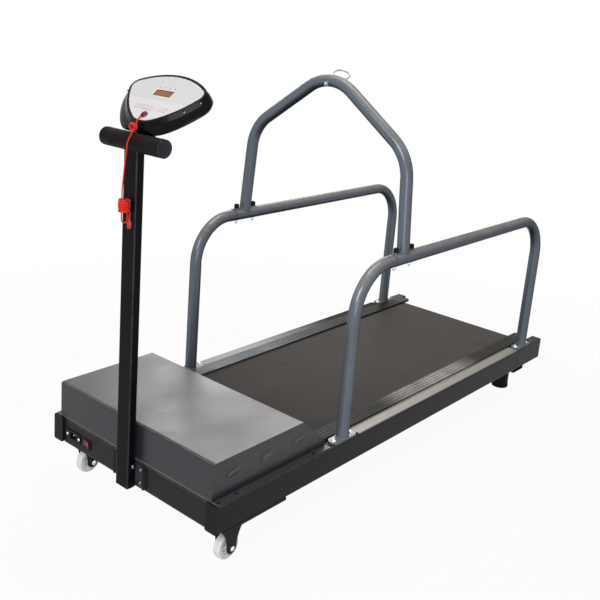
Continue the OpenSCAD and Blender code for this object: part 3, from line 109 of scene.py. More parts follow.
class Shader:
    """A Principled material with noise helpers that work in object space, in metres."""

    def __init__(self, name, color, rough, metallic=0.0, **sockets):
        self.mat = bpy.data.materials.new(name)
        self.mat.use_nodes = True
        self.mat.diffuse_color = (*color, 1)
        self.nodes = self.mat.node_tree.nodes
        self.links = self.mat.node_tree.links
        self.bsdf = next(n for n in self.nodes if n.type == "BSDF_PRINCIPLED")
        self.color = color
        self.bsdf.inputs["Base Color"].default_value = (*color, 1)
        self.bsdf.inputs["Roughness"].default_value = rough
        self.bsdf.inputs["Metallic"].default_value = metallic
        for key, value in sockets.items():
            self.bsdf.inputs[key.replace("_", " ")].default_value = value
        self.coords = {}
        self.normal = None

    def coord(self, stretch=(1, 1, 1), source="Object"):
        """Texture coordinates times a stretch, made once for each stretch and source."""
        key = (tuple(stretch), source)
        if key not in self.coords:
            tex = self.nodes.new("ShaderNodeTexCoord")
            mapping = self.nodes.new("ShaderNodeMapping")
            mapping.inputs["Scale"].default_value = stretch
            self.links.new(tex.outputs[source], mapping.inputs["Vector"])
            self.coords[key] = mapping.outputs["Vector"]
        return self.coords[key]

    def noise(self, scale, detail=3, rough=0.5, stretch=(1, 1, 1)):
        n = self.nodes.new("ShaderNodeTexNoise")
        n.inputs["Scale"].default_value = scale
        n.inputs["Detail"].default_value = detail
        n.inputs["Roughness"].default_value = rough
        self.links.new(self.coord(stretch), n.inputs["Vector"])
        return n.outputs["Fac"]

    def cells(self, scale, out="Distance"):
        n = self.nodes.new("ShaderNodeTexVoronoi")
        n.inputs["Scale"].default_value = scale
        self.links.new(self.coord(), n.inputs["Vector"])
        return n.outputs[out]

    def spread(self, value, low, high, start=0.3, end=0.7):
        """Runs from low to high while the value runs from start to end, and stays there outside."""
        n = self.nodes.new("ShaderNodeMapRange")
        n.inputs["From Min"].default_value = start
        n.inputs["From Max"].default_value = end
        n.inputs["To Min"].default_value = low
        n.inputs["To Max"].default_value = high
        self.links.new(value, n.inputs["Value"])
        return n.outputs["Result"]

    def math(self, op, a, b=None):
        n = self.nodes.new("ShaderNodeMath")
        n.operation = op
        for i, v in enumerate((a, b)):
            if v is None:
                continue
            if isinstance(v, (int, float)):
                n.inputs[i].default_value = v
            else:
                self.links.new(v, n.inputs[i])
        return n.outputs[0]

    def mix(self, fac, a, b):
        """Mix of two colours, each a tuple or an output."""
        n = self.nodes.new("ShaderNodeMix")
        n.data_type = "RGBA"
        self.links.new(fac, n.inputs["Factor"])
        for i, v in zip(MIX_IN, (a, b)):
            if isinstance(v, tuple):
                n.inputs[i].default_value = (*v, 1)
            else:
                self.links.new(v, n.inputs[i])
        return n.outputs[MIX_OUT]

    def tint(self, value, low, high):
        """Colour that runs from low to high times the base colour with a value from 0 to 1."""
        a = tuple(min(1, c * low) for c in self.color)
        b = tuple(min(1, c * high) for c in self.color)
        return self.mix(value, a, b)

    def set_color(self, out):
        self.links.new(out, self.bsdf.inputs["Base Color"])

    def set_rough(self, out):
        self.links.new(out, self.bsdf.inputs["Roughness"])

    def bump(self, height, strength, distance):
        """Adds a bump to those set before."""
        n = self.nodes.new("ShaderNodeBump")
        n.inputs["Strength"].default_value = strength
        n.inputs["Distance"].default_value = distance
        self.links.new(height, n.inputs["Height"])
        if self.normal is not None:
            self.links.new(self.normal, n.inputs["Normal"])
        self.normal = n.outputs["Normal"]
        self.links.new(self.normal, self.bsdf.inputs["Normal"])

    def upward(self, start=0.6, end=0.95):
        """Runs from 0 to 1 while the normal's Z runs from start to end, so 1 is a face that looks up."""
        n = self.nodes.new("ShaderNodeNewGeometry")
        sep = self.nodes.new("ShaderNodeSeparateXYZ")
        self.links.new(n.outputs["Normal"], sep.inputs[0])
        return self.spread(sep.outputs["Z"], 0, 1, start, end)

    def axes(self):
        """X, Y and Z of the object coordinates."""
        n = self.nodes.new("ShaderNodeSeparateXYZ")
        self.links.new(self.coord(), n.inputs[0])
        return n.outputs

    def edges(self, node, axes):
        """Uneven mask of painted highlights along the edges where a node's box ends on both axes, alike for
        its mirror in Y.
        """
        low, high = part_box(node)
        place = self.axes()
        mask = self.spread(self.noise(40, 4), 0.35, 0.95)
        for axis in axes:
            i = "XYZ".index(axis)
            centre, half = abs(low[i] + high[i]) / 2, (high[i] - low[i]) / 2
            off = self.math("ABSOLUTE", self.math("ADD", self.math("ABSOLUTE", place[axis]), -centre))
            near_edge = self.spread(off, 0, 1, half - HIGHLIGHT_FROM, half - HIGHLIGHT_FULL)
            mask = self.math("MULTIPLY", mask, near_edge)
        return mask


def powder_coat(name, color, rough, spec=0.2, film=0.0, grain=0.10, wear_and_painted_light=None):
    """Sprayed coat with a fine orange peel and uneven gloss.

    Film is dust on what looks up, and the last argument gives a node, two axes and the colour of painted
    highlights along its edges.
    """
    s = Shader(name, color, rough, Specular_IOR_Level=spec)
    body = s.tint(s.spread(s.noise(5, 4), 0, 1), 0.90, 1.10)
    if film:
        dust = s.math("MULTIPLY", s.upward(), s.spread(s.noise(26, 5, 0.65), 0.2 * film, film))
        body = s.mix(dust, body, (0.24, 0.225, 0.205))
    # Painted highlights: the node's edges are mixed towards a paler colour
    if wear_and_painted_light:
        node, axes, painted_highlight = wear_and_painted_light
        body = s.mix(s.edges(node, axes), body, painted_highlight)
    s.set_color(body)
    s.set_rough(s.spread(s.noise(60, 4), rough - 0.03, rough + 0.05))
    s.bump(s.noise(1500, 2), grain, 0.0003)
    return s.mat


# Soft limits: how far out of the hood's sides its louvres begin, and above which height they get a painted
# highlight
LOUVRE_OUT = (0.3158, 0.3176)
LOUVRE_UP = (0.232, 0.238)


def hood_coat():
    """Satin coat, with a thin warm film of dust, smears, a few stains, louvres painted paler as a highlight
    and painted highlights along its front and rear edges.
    """
    s = Shader("hood_coat", (0.0145, 0.0145, 0.0235), 0.30, Specular_IOR_Level=0.44,
               Specular_Tint=(1, 0.95, 0.87, 1))
    place = s.axes()
    body = s.tint(s.spread(s.noise(4, 2), 0, 1, 0.1, 0.9), 0.85, 1.15)
    # Painted highlight: the upper parts of the louvres are mixed paler
    out = s.spread(s.math("ABSOLUTE", place["Y"]), 0, 1, *LOUVRE_OUT)
    louvre = s.math("MULTIPLY", out, s.spread(place["Z"], 0, 1, *LOUVRE_UP))
    painted_highlight = s.math("MULTIPLY", louvre, s.spread(s.noise(50, 3), 0.6, 1))
    body = s.mix(painted_highlight, body, (0.066, 0.066, 0.074))
    dust = s.math("MULTIPLY", s.upward(), s.spread(s.noise(5, 3), 0.04, 0.24, 0.1, 0.9))
    body = s.mix(dust, body, (0.36, 0.320, 0.27))
    # Painted highlights along the hood's front and rear edges
    body = s.mix(s.edges("hood", "XZ"), body, (0.20, 0.19, 0.175))
    stain = s.spread(s.noise(13, 2, 0.45), 0.30, 0, 0.20, 0.36)
    s.set_color(s.mix(stain, body, (0.030, 0.025, 0.021)))
    smear = s.spread(s.noise(4.2, 3, 0.5), 0.25, 0.50, 0.15, 0.85)
    s.set_rough(s.math("ADD", smear, s.math("MULTIPLY", stain, 0.22)))
    s.bump(s.noise(700, 1), 0.02, 0.0001)
    return s.mat


def metallic_paint():
    """Fine-flaked paint, paler on what looks up with a warm film of dust and a painted warm reflection, and
    with painted shade on what looks down.
    """
    s = Shader("gunmetal_paint", (0.142, 0.163, 0.194), 0.20, 0.30, Specular_IOR_Level=0.04,
               Specular_Tint=(0.02, 0.02, 0.02, 1))
    flakes = s.nodes.new("ShaderNodeSeparateColor")
    s.links.new(s.cells(2600, out="Color"), flakes.inputs[0])
    broad = s.spread(s.noise(8, 3), 0, 1)
    sparkle = s.math("ADD", s.math("MULTIPLY", flakes.outputs[0], 0.25), s.math("MULTIPLY", broad, 0.75))
    # Dust and a painted warm reflection: faces that look up are mixed towards warm pale
    dust = s.math("MULTIPLY", s.upward(0.25, 0.9), s.spread(s.noise(14, 3), 0.30, 0.55))
    paint = s.mix(dust, s.tint(sparkle, 0.92, 1.08), (0.52, 0.46, 0.385))
    # Painted shade: faces that look down are darkened
    s.set_color(s.mix(s.upward(-0.15, -0.75), paint, (0.028, 0.029, 0.033)))
    s.set_rough(s.spread(s.noise(12, 3), 0.17, 0.23))
    return s.mat


def tread_rubber():
    """Fine-grained belt cover, scuffed paler along its run, darker by the hood, with a few marks."""
    s = Shader("tread_rubber", (0.046, 0.0405, 0.0368), 0.78, Specular_IOR_Level=0.12)
    grain = s.noise(900, 2, stretch=(0.5, 1, 1))
    scuff = s.spread(s.noise(3, 5, 0.65, stretch=(0.5, 1, 1)), 0, 0.85, 0.3, 0.75)
    wear_and_painted_light = s.mix(scuff, s.tint(grain, 0.80, 1.22), (0.098, 0.083, 0.072))
    marks = s.spread(s.noise(16, 2, 0.4), 0.45, 0, 0.26, 0.36)
    marked = s.mix(marks, wear_and_painted_light, (0.026, 0.024, 0.023))
    by_hood = s.spread(s.axes()["X"], 0.75, 0, -0.46, 0.15)
    s.set_color(s.mix(by_hood, marked, (0.026, 0.0235, 0.0225)))
    s.set_rough(s.spread(scuff, 0.66, 0.86, 0, 1))
    s.bump(s.cells(420), 0.35, 0.0006)
    s.bump(grain, 0.25, 0.0004)
    return s.mat


def cast_alloy():
    """Cast metal with a fine grain."""
    s = Shader("cast_alloy", (0.62, 0.62, 0.61), 0.30, 1.0)
    grain = s.noise(700, 3, 0.6)
    s.set_color(s.tint(s.spread(grain, 0, 1), 0.84, 1.08))
    s.set_rough(s.spread(s.noise(160, 4), 0.23, 0.44))
    s.bump(grain, 0.10, 0.0002)
    return s.mat


# Pitch of the foot rails' ribs, and the soft limit where their ledges begin
RIB_PITCH = 0.0125
LEDGE_Y = (0.3002, 0.3008)


def foot_rail_alloy():
    """Drawn aluminium: a ribbed strip inside and a satin ledge outside.

    The near strip is dark, with a painted bright reflection part of the way. The far strip and ledge carry
    a painted reflection, pale by the hood and fading rearward.
    """
    s = Shader("foot_rail_alloy", (0.30, 0.285, 0.265), 0.20, 1.0, Specular_IOR_Level=0.12,
               Specular_Tint=(0.45, 0.45, 0.45, 1))
    place = s.axes()
    x, y = place["X"], place["Y"]
    ribs = s.spread(s.math("SINE", s.math("MULTIPLY", y, 2 * math.pi / RIB_PITCH)), 0, 1, -0.6, 0.6)
    grain = s.spread(s.noise(300, 2, 0.5, stretch=(0.01, 1, 1)), 0, 1)
    far = s.spread(y, 0, 1, -0.05, 0.05)
    # Painted reflections: a bright patch part of the way along the near strip, and the far strip pale by
    # the hood
    reflection_fade = s.spread(x, 1, 0, -0.08, 0.40)
    near_painted_reflection = s.math("MULTIPLY", s.spread(x, 0, 1, -0.10, 0.16), s.spread(x, 1, 0, 0.36, 0.50))
    near_painted_reflection = s.math("MULTIPLY", near_painted_reflection, s.math("SUBTRACT", 1, far))
    far_painted_reflection = s.math("MULTIPLY", far, s.math("MULTIPLY", reflection_fade, 0.36))
    patchy = s.spread(s.noise(7, 2, 0.5), 0.5, 1)
    wear_and_painted_light = s.math("MULTIPLY", s.math("ADD", near_painted_reflection, far_painted_reflection), patchy)
    cool = s.mix(ribs, (0.27, 0.29, 0.32), (0.54, 0.57, 0.61))
    bright = s.mix(far, s.tint(ribs, 1.30, 2.30), cool)
    strip = s.mix(wear_and_painted_light, s.tint(ribs, 0.07, 0.20), bright)
    ledge = s.spread(s.math("ABSOLUTE", y), 0, 1, *LEDGE_Y)
    # Painted reflection on the far ledge: pale by the hood and dark to the rear
    far_ledge_reflection = s.mix(reflection_fade, (0.030, 0.030, 0.031), (0.190, 0.192, 0.196))
    edge = s.mix(far, s.tint(grain, 0.88, 1.02), far_ledge_reflection)
    s.set_color(s.mix(ledge, strip, edge))
    s.links.new(s.math("MAXIMUM", ledge, s.spread(wear_and_painted_light, 0.2, 1, 0, 1)), s.bsdf.inputs["Metallic"])
    polish = s.spread(s.noise(60, 3, stretch=(0.05, 1, 1)), 0.16, 0.28)
    dull = s.math("MAXIMUM", s.math("MULTIPLY", ledge, 0.28), s.spread(wear_and_painted_light, 0.20, 0, 0, 0.5))
    s.set_rough(s.math("ADD", polish, dull))
    s.bump(ribs, 0.25, 0.0008)
    return s.mat


def machined(name, color, rough):
    """Bare or plated metal with a fine grain."""
    s = Shader(name, color, rough, 1.0)
    s.set_color(s.tint(s.spread(s.noise(90, 4), 0, 1), 0.82, 1.06))
    s.set_rough(s.spread(s.noise(300, 4), rough - 0.05, rough + 0.12))
    s.bump(s.noise(800, 2), 0.06, 0.0002)
    return s.mat


def bolt_plate(name, color, axis, dark_end, bright_end, dark):
    """Plated fixings of one node, darkened on one side of a plane and bright on the other."""
    s = Shader(name, color, 0.14, 1.0)
    bright = s.spread(s.axes()[axis], 0, 1, dark_end, bright_end)
    wear = s.spread(s.noise(240, 4), 0, 1)
    dull = s.mix(wear, dark, tuple(3 * c for c in dark))
    s.set_color(s.mix(bright, dull, s.tint(wear, 0.85, 1.06)))
    s.set_rough(s.spread(s.noise(300, 4), 0.10, 0.28))
    s.bump(s.noise(800, 2), 0.06, 0.0002)
    return s.mat


def moulded(name, color, rough, grain=900, depth=0.12, **sockets):
    """Plastic, rubber or print with a fine grain."""
    s = Shader(name, color, rough, **sockets)
    s.set_color(s.tint(s.spread(s.noise(22, 4), 0, 1), 0.84, 1.16))
    s.set_rough(s.spread(s.noise(70, 4), max(0.03, rough - 0.05), rough + 0.08))
    s.bump(s.cells(grain), depth, 0.0003)
    return s.mat


def foam_rubber():
    """Matt black foam with open pores and a few broad dents."""
    s = Shader("foam_rubber", (0.0048, 0.0040, 0.0036), 0.55, Specular_IOR_Level=0.08)
    pores = s.cells(1100)
    s.set_color(s.tint(s.spread(pores, 0, 1, 0, 0.7), 0.7, 1.35))
    s.set_rough(s.spread(s.noise(40, 4), 0.46, 0.66))
    s.bump(pores, 0.45, 0.0005)
    s.bump(s.noise(55, 3), 0.15, 0.001)
    return s.mat


# The band's end up the console face, in millimetres, and half the width of its soft edge in metres
BAND_V = 76
BAND_SOFT = 0.0004


def printed_face():
    """Satin silver print, with a whiter band below the window.

    The face rises to the rear, so Z sets the band.
    """
    s = Shader("printed_face", (0.66, 0.66, 0.665), 0.42, Specular_IOR_Level=0.3)
    band_z = face_place(BAND_V, 0, 0).z
    band = s.spread(s.axes()["Z"], 1, 0, band_z - BAND_SOFT, band_z + BAND_SOFT)
    silver = s.tint(s.spread(s.noise(2500, 2), 0, 1), 0.95, 1.05)
    s.set_color(s.mix(s.math("MULTIPLY", band, 0.8), silver, (0.74, 0.725, 0.73)))
    s.set_rough(s.spread(s.noise(40, 3), 0.36, 0.48))
    s.bump(s.noise(1800, 2), 0.05, 0.0002)
    return s.mat


# Axle of both casters, seen along Y
AXLE = at(90, 0, 38)


def clear_wheel():
    """Pale cast tyre with a faint ring about its axle."""
    s = Shader("clear_tyre", (0.90, 0.905, 0.92), 0.20, Specular_IOR_Level=0.5)
    place = s.axes()
    dx = s.math("ADD", place["X"], -AXLE.x)
    dz = s.math("ADD", place["Z"], -AXLE.z)
    r = s.math("SQRT", s.math("ADD", s.math("MULTIPLY", dx, dx), s.math("MULTIPLY", dz, dz)))
    ring = s.math("MULTIPLY", s.spread(r, 0, 1, 0.0265, 0.0275), s.spread(r, 1, 0, 0.0295, 0.0305))
    body = s.tint(s.spread(s.noise(60, 4), 0, 1), 0.94, 1.05)
    s.set_color(s.mix(s.math("MULTIPLY", ring, 0.6), body, (0.50, 0.52, 0.56)))
    s.set_rough(s.spread(s.noise(120, 4), 0.14, 0.28))
    s.bump(s.noise(300, 3), 0.06, 0.0003)
    return s.mat


def braided():
    """Cord braid from the tube's own lengthwise and round coordinates."""
    s = Shader("braided_cord", (0.80, 0.034, 0.016), 0.60, Specular_IOR_Level=0.2, Sheen_Weight=0.15,
               Sheen_Roughness=0.4)
    heights = []
    for sign in (1, -1):
        w = s.nodes.new("ShaderNodeTexWave")
        w.wave_type = "BANDS"
        w.bands_direction = "DIAGONAL"
        w.inputs["Scale"].default_value = 1.0
        w.inputs["Distortion"].default_value = 0.6
        s.links.new(s.coord((4.0, sign * 4.0, 1), "UV"), w.inputs["Vector"])
        heights.append(w.outputs["Fac"])
    cross = s.math("MAXIMUM", heights[0], heights[1])
    s.set_color(s.tint(s.spread(cross, 0, 1, 0.2, 1), 0.72, 1.12))
    s.set_rough(s.spread(s.noise(200, 3), 0.5, 0.7))
    s.bump(cross, 0.5, 0.0004)
    return s.mat


# Finer grain of small, smooth mouldings
FINE = {"grain": 500, "depth": 0.03}

BLACK = powder_coat("black_coat", (0.0115, 0.0098, 0.0100), 0.40, 0.10, film=0.08)
# Rails, mast and panel carry painted highlights along their edges
RAIL = powder_coat("rail_coat", (0.0115, 0.0098, 0.0100), 0.40, 0.10, film=0.10,
                   wear_and_painted_light=("side_rail_left", "YZ", (0.085, 0.078, 0.073)))
MAST = powder_coat("mast_coat", (0.0038, 0.0035, 0.0050), 0.36, 0.06, grain=0.08,
                   wear_and_painted_light=("mast", "XY", (0.052, 0.055, 0.060)))
PANEL = powder_coat("panel_coat", (0.0125, 0.0118, 0.0138), 0.42, 0.13, film=0.12,
                    wear_and_painted_light=("front_panel", "XZ", (0.085, 0.080, 0.076)))
HOOD = hood_coat()
TUBE = metallic_paint()
PLASTIC = moulded("black_plastic", (0.0060, 0.0060, 0.0072), 0.46, Specular_IOR_Level=0.12)
CAP = moulded("end_cap_plastic", (0.0085, 0.0080, 0.0145), 0.34, Specular_IOR_Level=0.25)
GLOSS = moulded("gloss_black", (0.0026, 0.0026, 0.0030), 0.16, grain=500, depth=0.02,
                Specular_IOR_Level=0.09)
FACE = printed_face()
WINDOW = moulded("tinted_window", (0.285, 0.100, 0.050), 0.14, grain=400, depth=0.01,
                 Specular_IOR_Level=0.3)
RUBBER = moulded("black_rubber", (0.0095, 0.0092, 0.0100), 0.68, grain=700, depth=0.25,
                 Specular_IOR_Level=0.12)
FOAM = foam_rubber()
TREAD = tread_rubber()
BOARD = moulded("coated_board", (0.060, 0.050, 0.042), 0.55, grain=300, depth=0.1)
FOOT_RAIL = foot_rail_alloy()
ALLOY = cast_alloy()
STEEL = machined("machined_steel", (0.40, 0.41, 0.43), 0.30)
BOLT = bolt_plate("bolt_plate", (0.74, 0.75, 0.77), "X", -0.80, -0.79, (0.048, 0.049, 0.055))
SCREW = bolt_plate("screw_plate", (0.80, 0.81, 0.83), "Z", 0.90, 0.80, (0.085, 0.085, 0.09))
CHROME = machined("bright_plate", (0.83, 0.84, 0.86), 0.09)
TYRE = clear_wheel()
HUB = moulded("white_hub", (0.78, 0.78, 0.79), 0.36, grain=500, depth=0.05)
RED = moulded("red_plastic", (0.150, 0.005, 0.010), 0.22, **FINE, Specular_IOR_Level=0.3)
CLIP = moulded("clear_red", (0.62, 0.035, 0.030), 0.22, **FINE, Transmission_Weight=0.15)
PALE = moulded("window_border", (0.86, 0.73, 0.61), 0.40, **FINE, Specular_IOR_Level=0.3)
PINK = moulded("pale_keys", (0.72, 0.53, 0.56), 0.42, **FINE, Specular_IOR_Level=0.3)
WHITE = moulded("white_ink", (0.36, 0.32, 0.32), 0.45, **FINE)
CORD = braided()

LOOKS = {
    RAIL: "side_rail_left side_rail_right",
    BLACK: "cross_members caster_brackets motor_mount",
    MAST: "mast mast_bracket handlebar",
    PANEL: "front_panel",
    HOOD: "hood",
    TUBE: "handrail_left handrail_right arch arch_saddles",
    PLASTIC: "motor_controller end_caps power_inlet switch_bezel arch_bolt_caps hood_screws",
    CAP: "bar_end_caps",
    GLOSS: "console_base console_bezel",
    FACE: "console_face",
    WINDOW: "display_window",
    RUBBER: "deck_cushions drive_belt rear_foot_left rear_foot_right",
    TREAD: "running_belt",
    BOARD: "deck",
    FOOT_RAIL: "foot_rail_left foot_rail_right",
    ALLOY: "roller_pulley",
    STEEL: "front_roller_shaft rear_roller_shaft belt_tension_bolts foot_lock_nuts front_roller "
           "front_bearings rear_roller rear_bearings motor_rotor drive_motor eye_bolt",
    BOLT: "frame_bolts",
    SCREW: "chrome_screws",
    CHROME: "arch_bolts caster_axles",
    TYRE: "wheel_tyre_left wheel_tyre_right",
    HUB: "wheel_hub_left wheel_hub_right",
    RED: "rocker safety_key",
    CLIP: "lanyard_clip",
    FOAM: "handlebar_grip",
    CORD: "lanyard_cord lanyard_hank",
}


def dress(obj, mat):
    """Gives an object one material."""
    obj.data.materials.clear()
    obj.data.materials.append(mat)


for look, names in LOOKS.items():
    for n in names.split():
        dress(nodes[n], look)


def new_object(name, bm, mat, body, smooth=True):
    """Piece that rides a body, with its material."""
    mesh = bpy.data.meshes.new(name)
    bm.to_mesh(mesh)
    bm.free()
    if smooth:
        for p in mesh.polygons:
            p.use_smooth = True
    obj = bpy.data.objects.new(name, mesh)
    scene.collection.objects.link(obj)
    mesh.materials.append(mat)
    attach(obj, body)
    return obj


def fitting(name, bm, mat, body="frame"):
    """Flat-shaded piece, its faces turned outward."""
    bmesh.ops.recalc_face_normals(bm, faces=bm.faces)
    new_object(name, bm, mat, body, smooth=False)


def circle(count):
    """Angles of a number of points round a full turn."""
    return [2 * math.pi * i / count for i in range(count)]


# Lanyard: the same route as the solids, as one braided tube, in millimetres

CORD_D = 3.5
CORD_SIDES, CORD_PARTS = 12, 3
# Safety key: its place up the console face, the length of its stub and the stub's height above the face
KEY_V, KEY_STUB, KEY_N = 24, 9, 5.5
KEY_LEAD = ((-3, -0.5, 1116.5), (-8, -2.5, 1111))
# Loops under the console's nose: they step forward with each turn, and their sweep and start are degrees
LOOP_R = 9.5
LOOP_AT = (-12, 0, 1098)
LOOP_STEP = 4.8
LOOP_SWEEP = 765
LOOP_START = 135
LOOP_RINGS = 51
DROP = ((-24, -9.5, 1090), (-28.5, -8.5, 1082), (-33.5, -7, 1073), (-36.5, -5.5, 1062),
        (-37.2, -4, 1050), (-38, -2, 1030), (-39.2, 0, 1005), (-40.7, 1, 980), (-42.2, 1.7, 960),
        (-43.1, 2, 948))
# Hank: its axis, its turn about Z, and the fold that the turns are wound on
HANK_AXIS, HANK_TURN = (-38.8, -3.3), math.radians(-49.5)
HANK_TOP = 936
FOLD_R, FOLD_Z = 7, 870
FOLD_DOWN, FOLD_UP = (920, 900, 880), (880, 898)
WRAP_R, WRAP_PITCH, WRAP_TOP = 14, 4.2, 922
WRAP_START, WRAP_SWEEP, WRAP_RINGS = 90, 31 * 90, 24
# The turns sag and lean, most in the middle of the hank
WRAP_SAG, WRAP_LEAN, LEAN_START = 1.4, 2.2, 35
TAIL = 3


def on_hank(a, b, z):
    """Point a across the hank and b out of it, towards the camera."""
    x = HANK_AXIS[0] + a * math.cos(HANK_TURN) + b * math.sin(HANK_TURN)
    y = HANK_AXIS[1] + a * math.sin(HANK_TURN) - b * math.cos(HANK_TURN)
    return Vector((x, y, z))


def wrap_turns():
    """Points of the turns about the fold, from the top down."""
    count = WRAP_RINGS * WRAP_SWEEP // 360
    p = []
    for i in range(count + 1):
        turned = WRAP_SWEEP * i / count
        a = math.radians(WRAP_START + turned)
        slack = math.sin(math.pi * i / count)
        r = WRAP_R - slack * WRAP_SAG * math.cos(a - HANK_TURN)
        lift = slack * WRAP_LEAN * math.sin(a - math.radians(LEAN_START))
        p.append(on_hank(r * math.cos(a), r * math.sin(a), WRAP_TOP - WRAP_PITCH * turned / 360 + lift))
    return p


def lanyard_route():
    """Points of the cord from the key's stub through the loops, the drop and the hank to the clip."""
    bend = [math.radians(22.5 * i) for i in range(9)]
    p = [on_face(KEY_V - KEY_STUB, 0, KEY_N), on_face(KEY_V - KEY_STUB - CORD_D, 0, KEY_N)]
    p += [Vector(q) for q in KEY_LEAD]
    for i in range(LOOP_RINGS + 1):
        a = math.radians(LOOP_START + LOOP_SWEEP * i / LOOP_RINGS)
        x = LOOP_AT[0] - LOOP_STEP * LOOP_SWEEP / 360 * i / LOOP_RINGS
        p.append(Vector((x, LOOP_AT[1] + LOOP_R * math.cos(a), LOOP_AT[2] + LOOP_R * math.sin(a))))
    p += [Vector(q) for q in DROP]
    # Down one side of the hank, round the fold, up the other side and out to the turns
    p += [on_hank(-FOLD_R, 0, HANK_TOP + z) for z in (CORD_D, 0, -CORD_D)]
    p += [on_hank(-FOLD_R, 0, z) for z in FOLD_DOWN]
    p += [on_hank(-FOLD_R * math.cos(a), 0, FOLD_Z - FOLD_R * math.sin(a)) for a in bend]
    p += [on_hank(FOLD_R, 0, z) for z in FOLD_UP]
    for a in bend[:5]:
        p.append(on_hank(FOLD_R, FOLD_R - FOLD_R * math.cos(a), WRAP_TOP - FOLD_R + FOLD_R * math.sin(a)))
    inner = WRAP_R - FOLD_R
    p += [on_hank(inner * math.cos(a), FOLD_R + inner * math.sin(a), WRAP_TOP) for a in bend[1:4]]
    p += wrap_turns()
    # From the last turn down into the clip
    low = WRAP_TOP - WRAP_PITCH * WRAP_SWEEP / 360 - FOLD_R
    p += [on_hank(WRAP_R, FOLD_R * math.sin(a), low + FOLD_R * math.cos(a)) for a in bend[1:5]]
    p += [on_hank(WRAP_R, FOLD_R, low - TAIL), on_hank(WRAP_R, FOLD_R, low - TAIL - CORD_D)]
    return [at(*q) for q in p]


def smooth_route(p, parts):
    """Smooth curve through the points, each stretch cut into a number of parts."""
    out = []
    for i in range(len(p) - 1):
        a, b, c, e = p[max(i - 1, 0)], p[i], p[i + 1], p[min(i + 2, len(p) - 1)]
        for k in range(parts):
            t = k / parts
            out.append(0.5 * ((2 * b) + (c - a) * t + (2 * a - 5 * b + 4 * c - e) * t * t
                              + (3 * b - a - 3 * c + e) * t * t * t))
    return out + [p[-1]]


def tube_mesh(path, radius, sides):
    """Closed tube, with a UV map that runs once round it and counts its girth along it."""
    bm = bmesh.new()
    uv = bm.loops.layers.uv.new("UVMap")
    girth = 2 * math.pi * radius
    across = None
    rings, along = [], [0.0]
    for i, p in enumerate(path):
        t = (path[min(i + 1, len(path) - 1)] - path[max(i - 1, 0)]).normalized()
        if across is None:
            across = t.cross(Vector((0, 0, 1)) if abs(t.z) < 0.9 else Vector((0, 1, 0)))
        across = (across - t * across.dot(t)).normalized()
        side = t.cross(across)
        rings.append([bm.verts.new(p + radius * (math.cos(a) * across + math.sin(a) * side))
                      for a in circle(sides)])
        if i:
            along.append(along[-1] + (p - path[i - 1]).length)
    for i in range(len(path) - 1):
        for j in range(sides):
            k = (j + 1) % sides
            f = bm.faces.new((rings[i][j], rings[i][k], rings[i + 1][k], rings[i + 1][j]))
            for loop, (u, v) in zip(f.loops, ((j, i), (j + 1, i), (j + 1, i + 1), (j, i + 1))):
                loop[uv].uv = (u / sides, along[v] / girth)
    bm.faces.new(list(reversed(rings[0])))
    bm.faces.new(rings[-1])
    return bm


route = smooth_route(lanyard_route(), CORD_PARTS)
lanyard = new_object("lanyard", tube_mesh(route, CORD_D / 2000, CORD_SIDES), CORD, "key_body")
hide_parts("lanyard_cord", "lanyard_hank")

# Foam grip: a sleeve with rolled ends, cut away for the mast and for the console's plate

# Middle of the bar, in millimetres as at() takes them
BAR_X, BAR_Z = -10, 1061
GRIP_BORE, GRIP_ROLL = 0.0162, 0.004
GRIP_SIDES, GRIP_PARTS = 72, 60
# The skin is drawn in a little and dented. Both begin at a height above the bore
SKIN_IN, SKIN_FROM = 0.0003, 0.001
DENT, DENT_FROM = 0.00022, 0.004
# The mast ends just under the bar's axis, and the plate runs up the face from the bar
MAST_CUT, MAST_DOWN = (0.0256, 0.0506, 0.05), 25.1
PLATE_CUT, PLATE_MID, PLATE_N = (0.115, 0.0606, 0.0047), 57.5, -44


def grip_profile(half, outer):
    """Half of the sleeve's section, as places along the bar and radii."""
    shoulder = outer - GRIP_ROLL
    turns = [math.radians(15 * i) for i in range(1, 7)]
    roll = [(GRIP_ROLL * (1 - math.cos(a)), shoulder + GRIP_ROLL * math.sin(a)) for a in turns]
    flat = 2 * half - 2 * GRIP_ROLL
    profile = [(-half, GRIP_BORE), (-half, shoulder)]
    profile += [(-half + y, r) for y, r in roll]
    profile += [(-half + GRIP_ROLL + flat * i / GRIP_PARTS, outer) for i in range(1, GRIP_PARTS)]
    profile += [(half - y, r) for y, r in reversed(roll)]
    return profile + [(half, shoulder), (half, GRIP_BORE)]


def grip_radius(y, r, a):
    """Radius of the sleeve at an angle, with its skin drawn in and dented."""
    if r <= GRIP_BORE + SKIN_FROM:
        return r
    dent = 0
    # Two crossed waves make the dents uneven
    if r > GRIP_BORE + DENT_FROM:
        dent = DENT * math.sin(y * 310 + 2.3 * math.cos(a)) * math.sin(3 * a + y * 95)
    return r - SKIN_IN + dent


def add_cut(piece, name, size, place):
    """Box that a modifier takes out of a piece."""
    bm = bmesh.new()
    bmesh.ops.create_cube(bm, size=1.0)
    bmesh.ops.scale(bm, vec=size, verts=bm.verts)
    bm.transform(place)
    mesh = bpy.data.meshes.new(name)
    bm.to_mesh(mesh)
    bm.free()
    cutter = bpy.data.objects.new(name, mesh)
    scene.collection.objects.link(cutter)
    mod = piece.modifiers.new(name, "BOOLEAN")
    mod.object = cutter
    mod.operation = "DIFFERENCE"
    return cutter


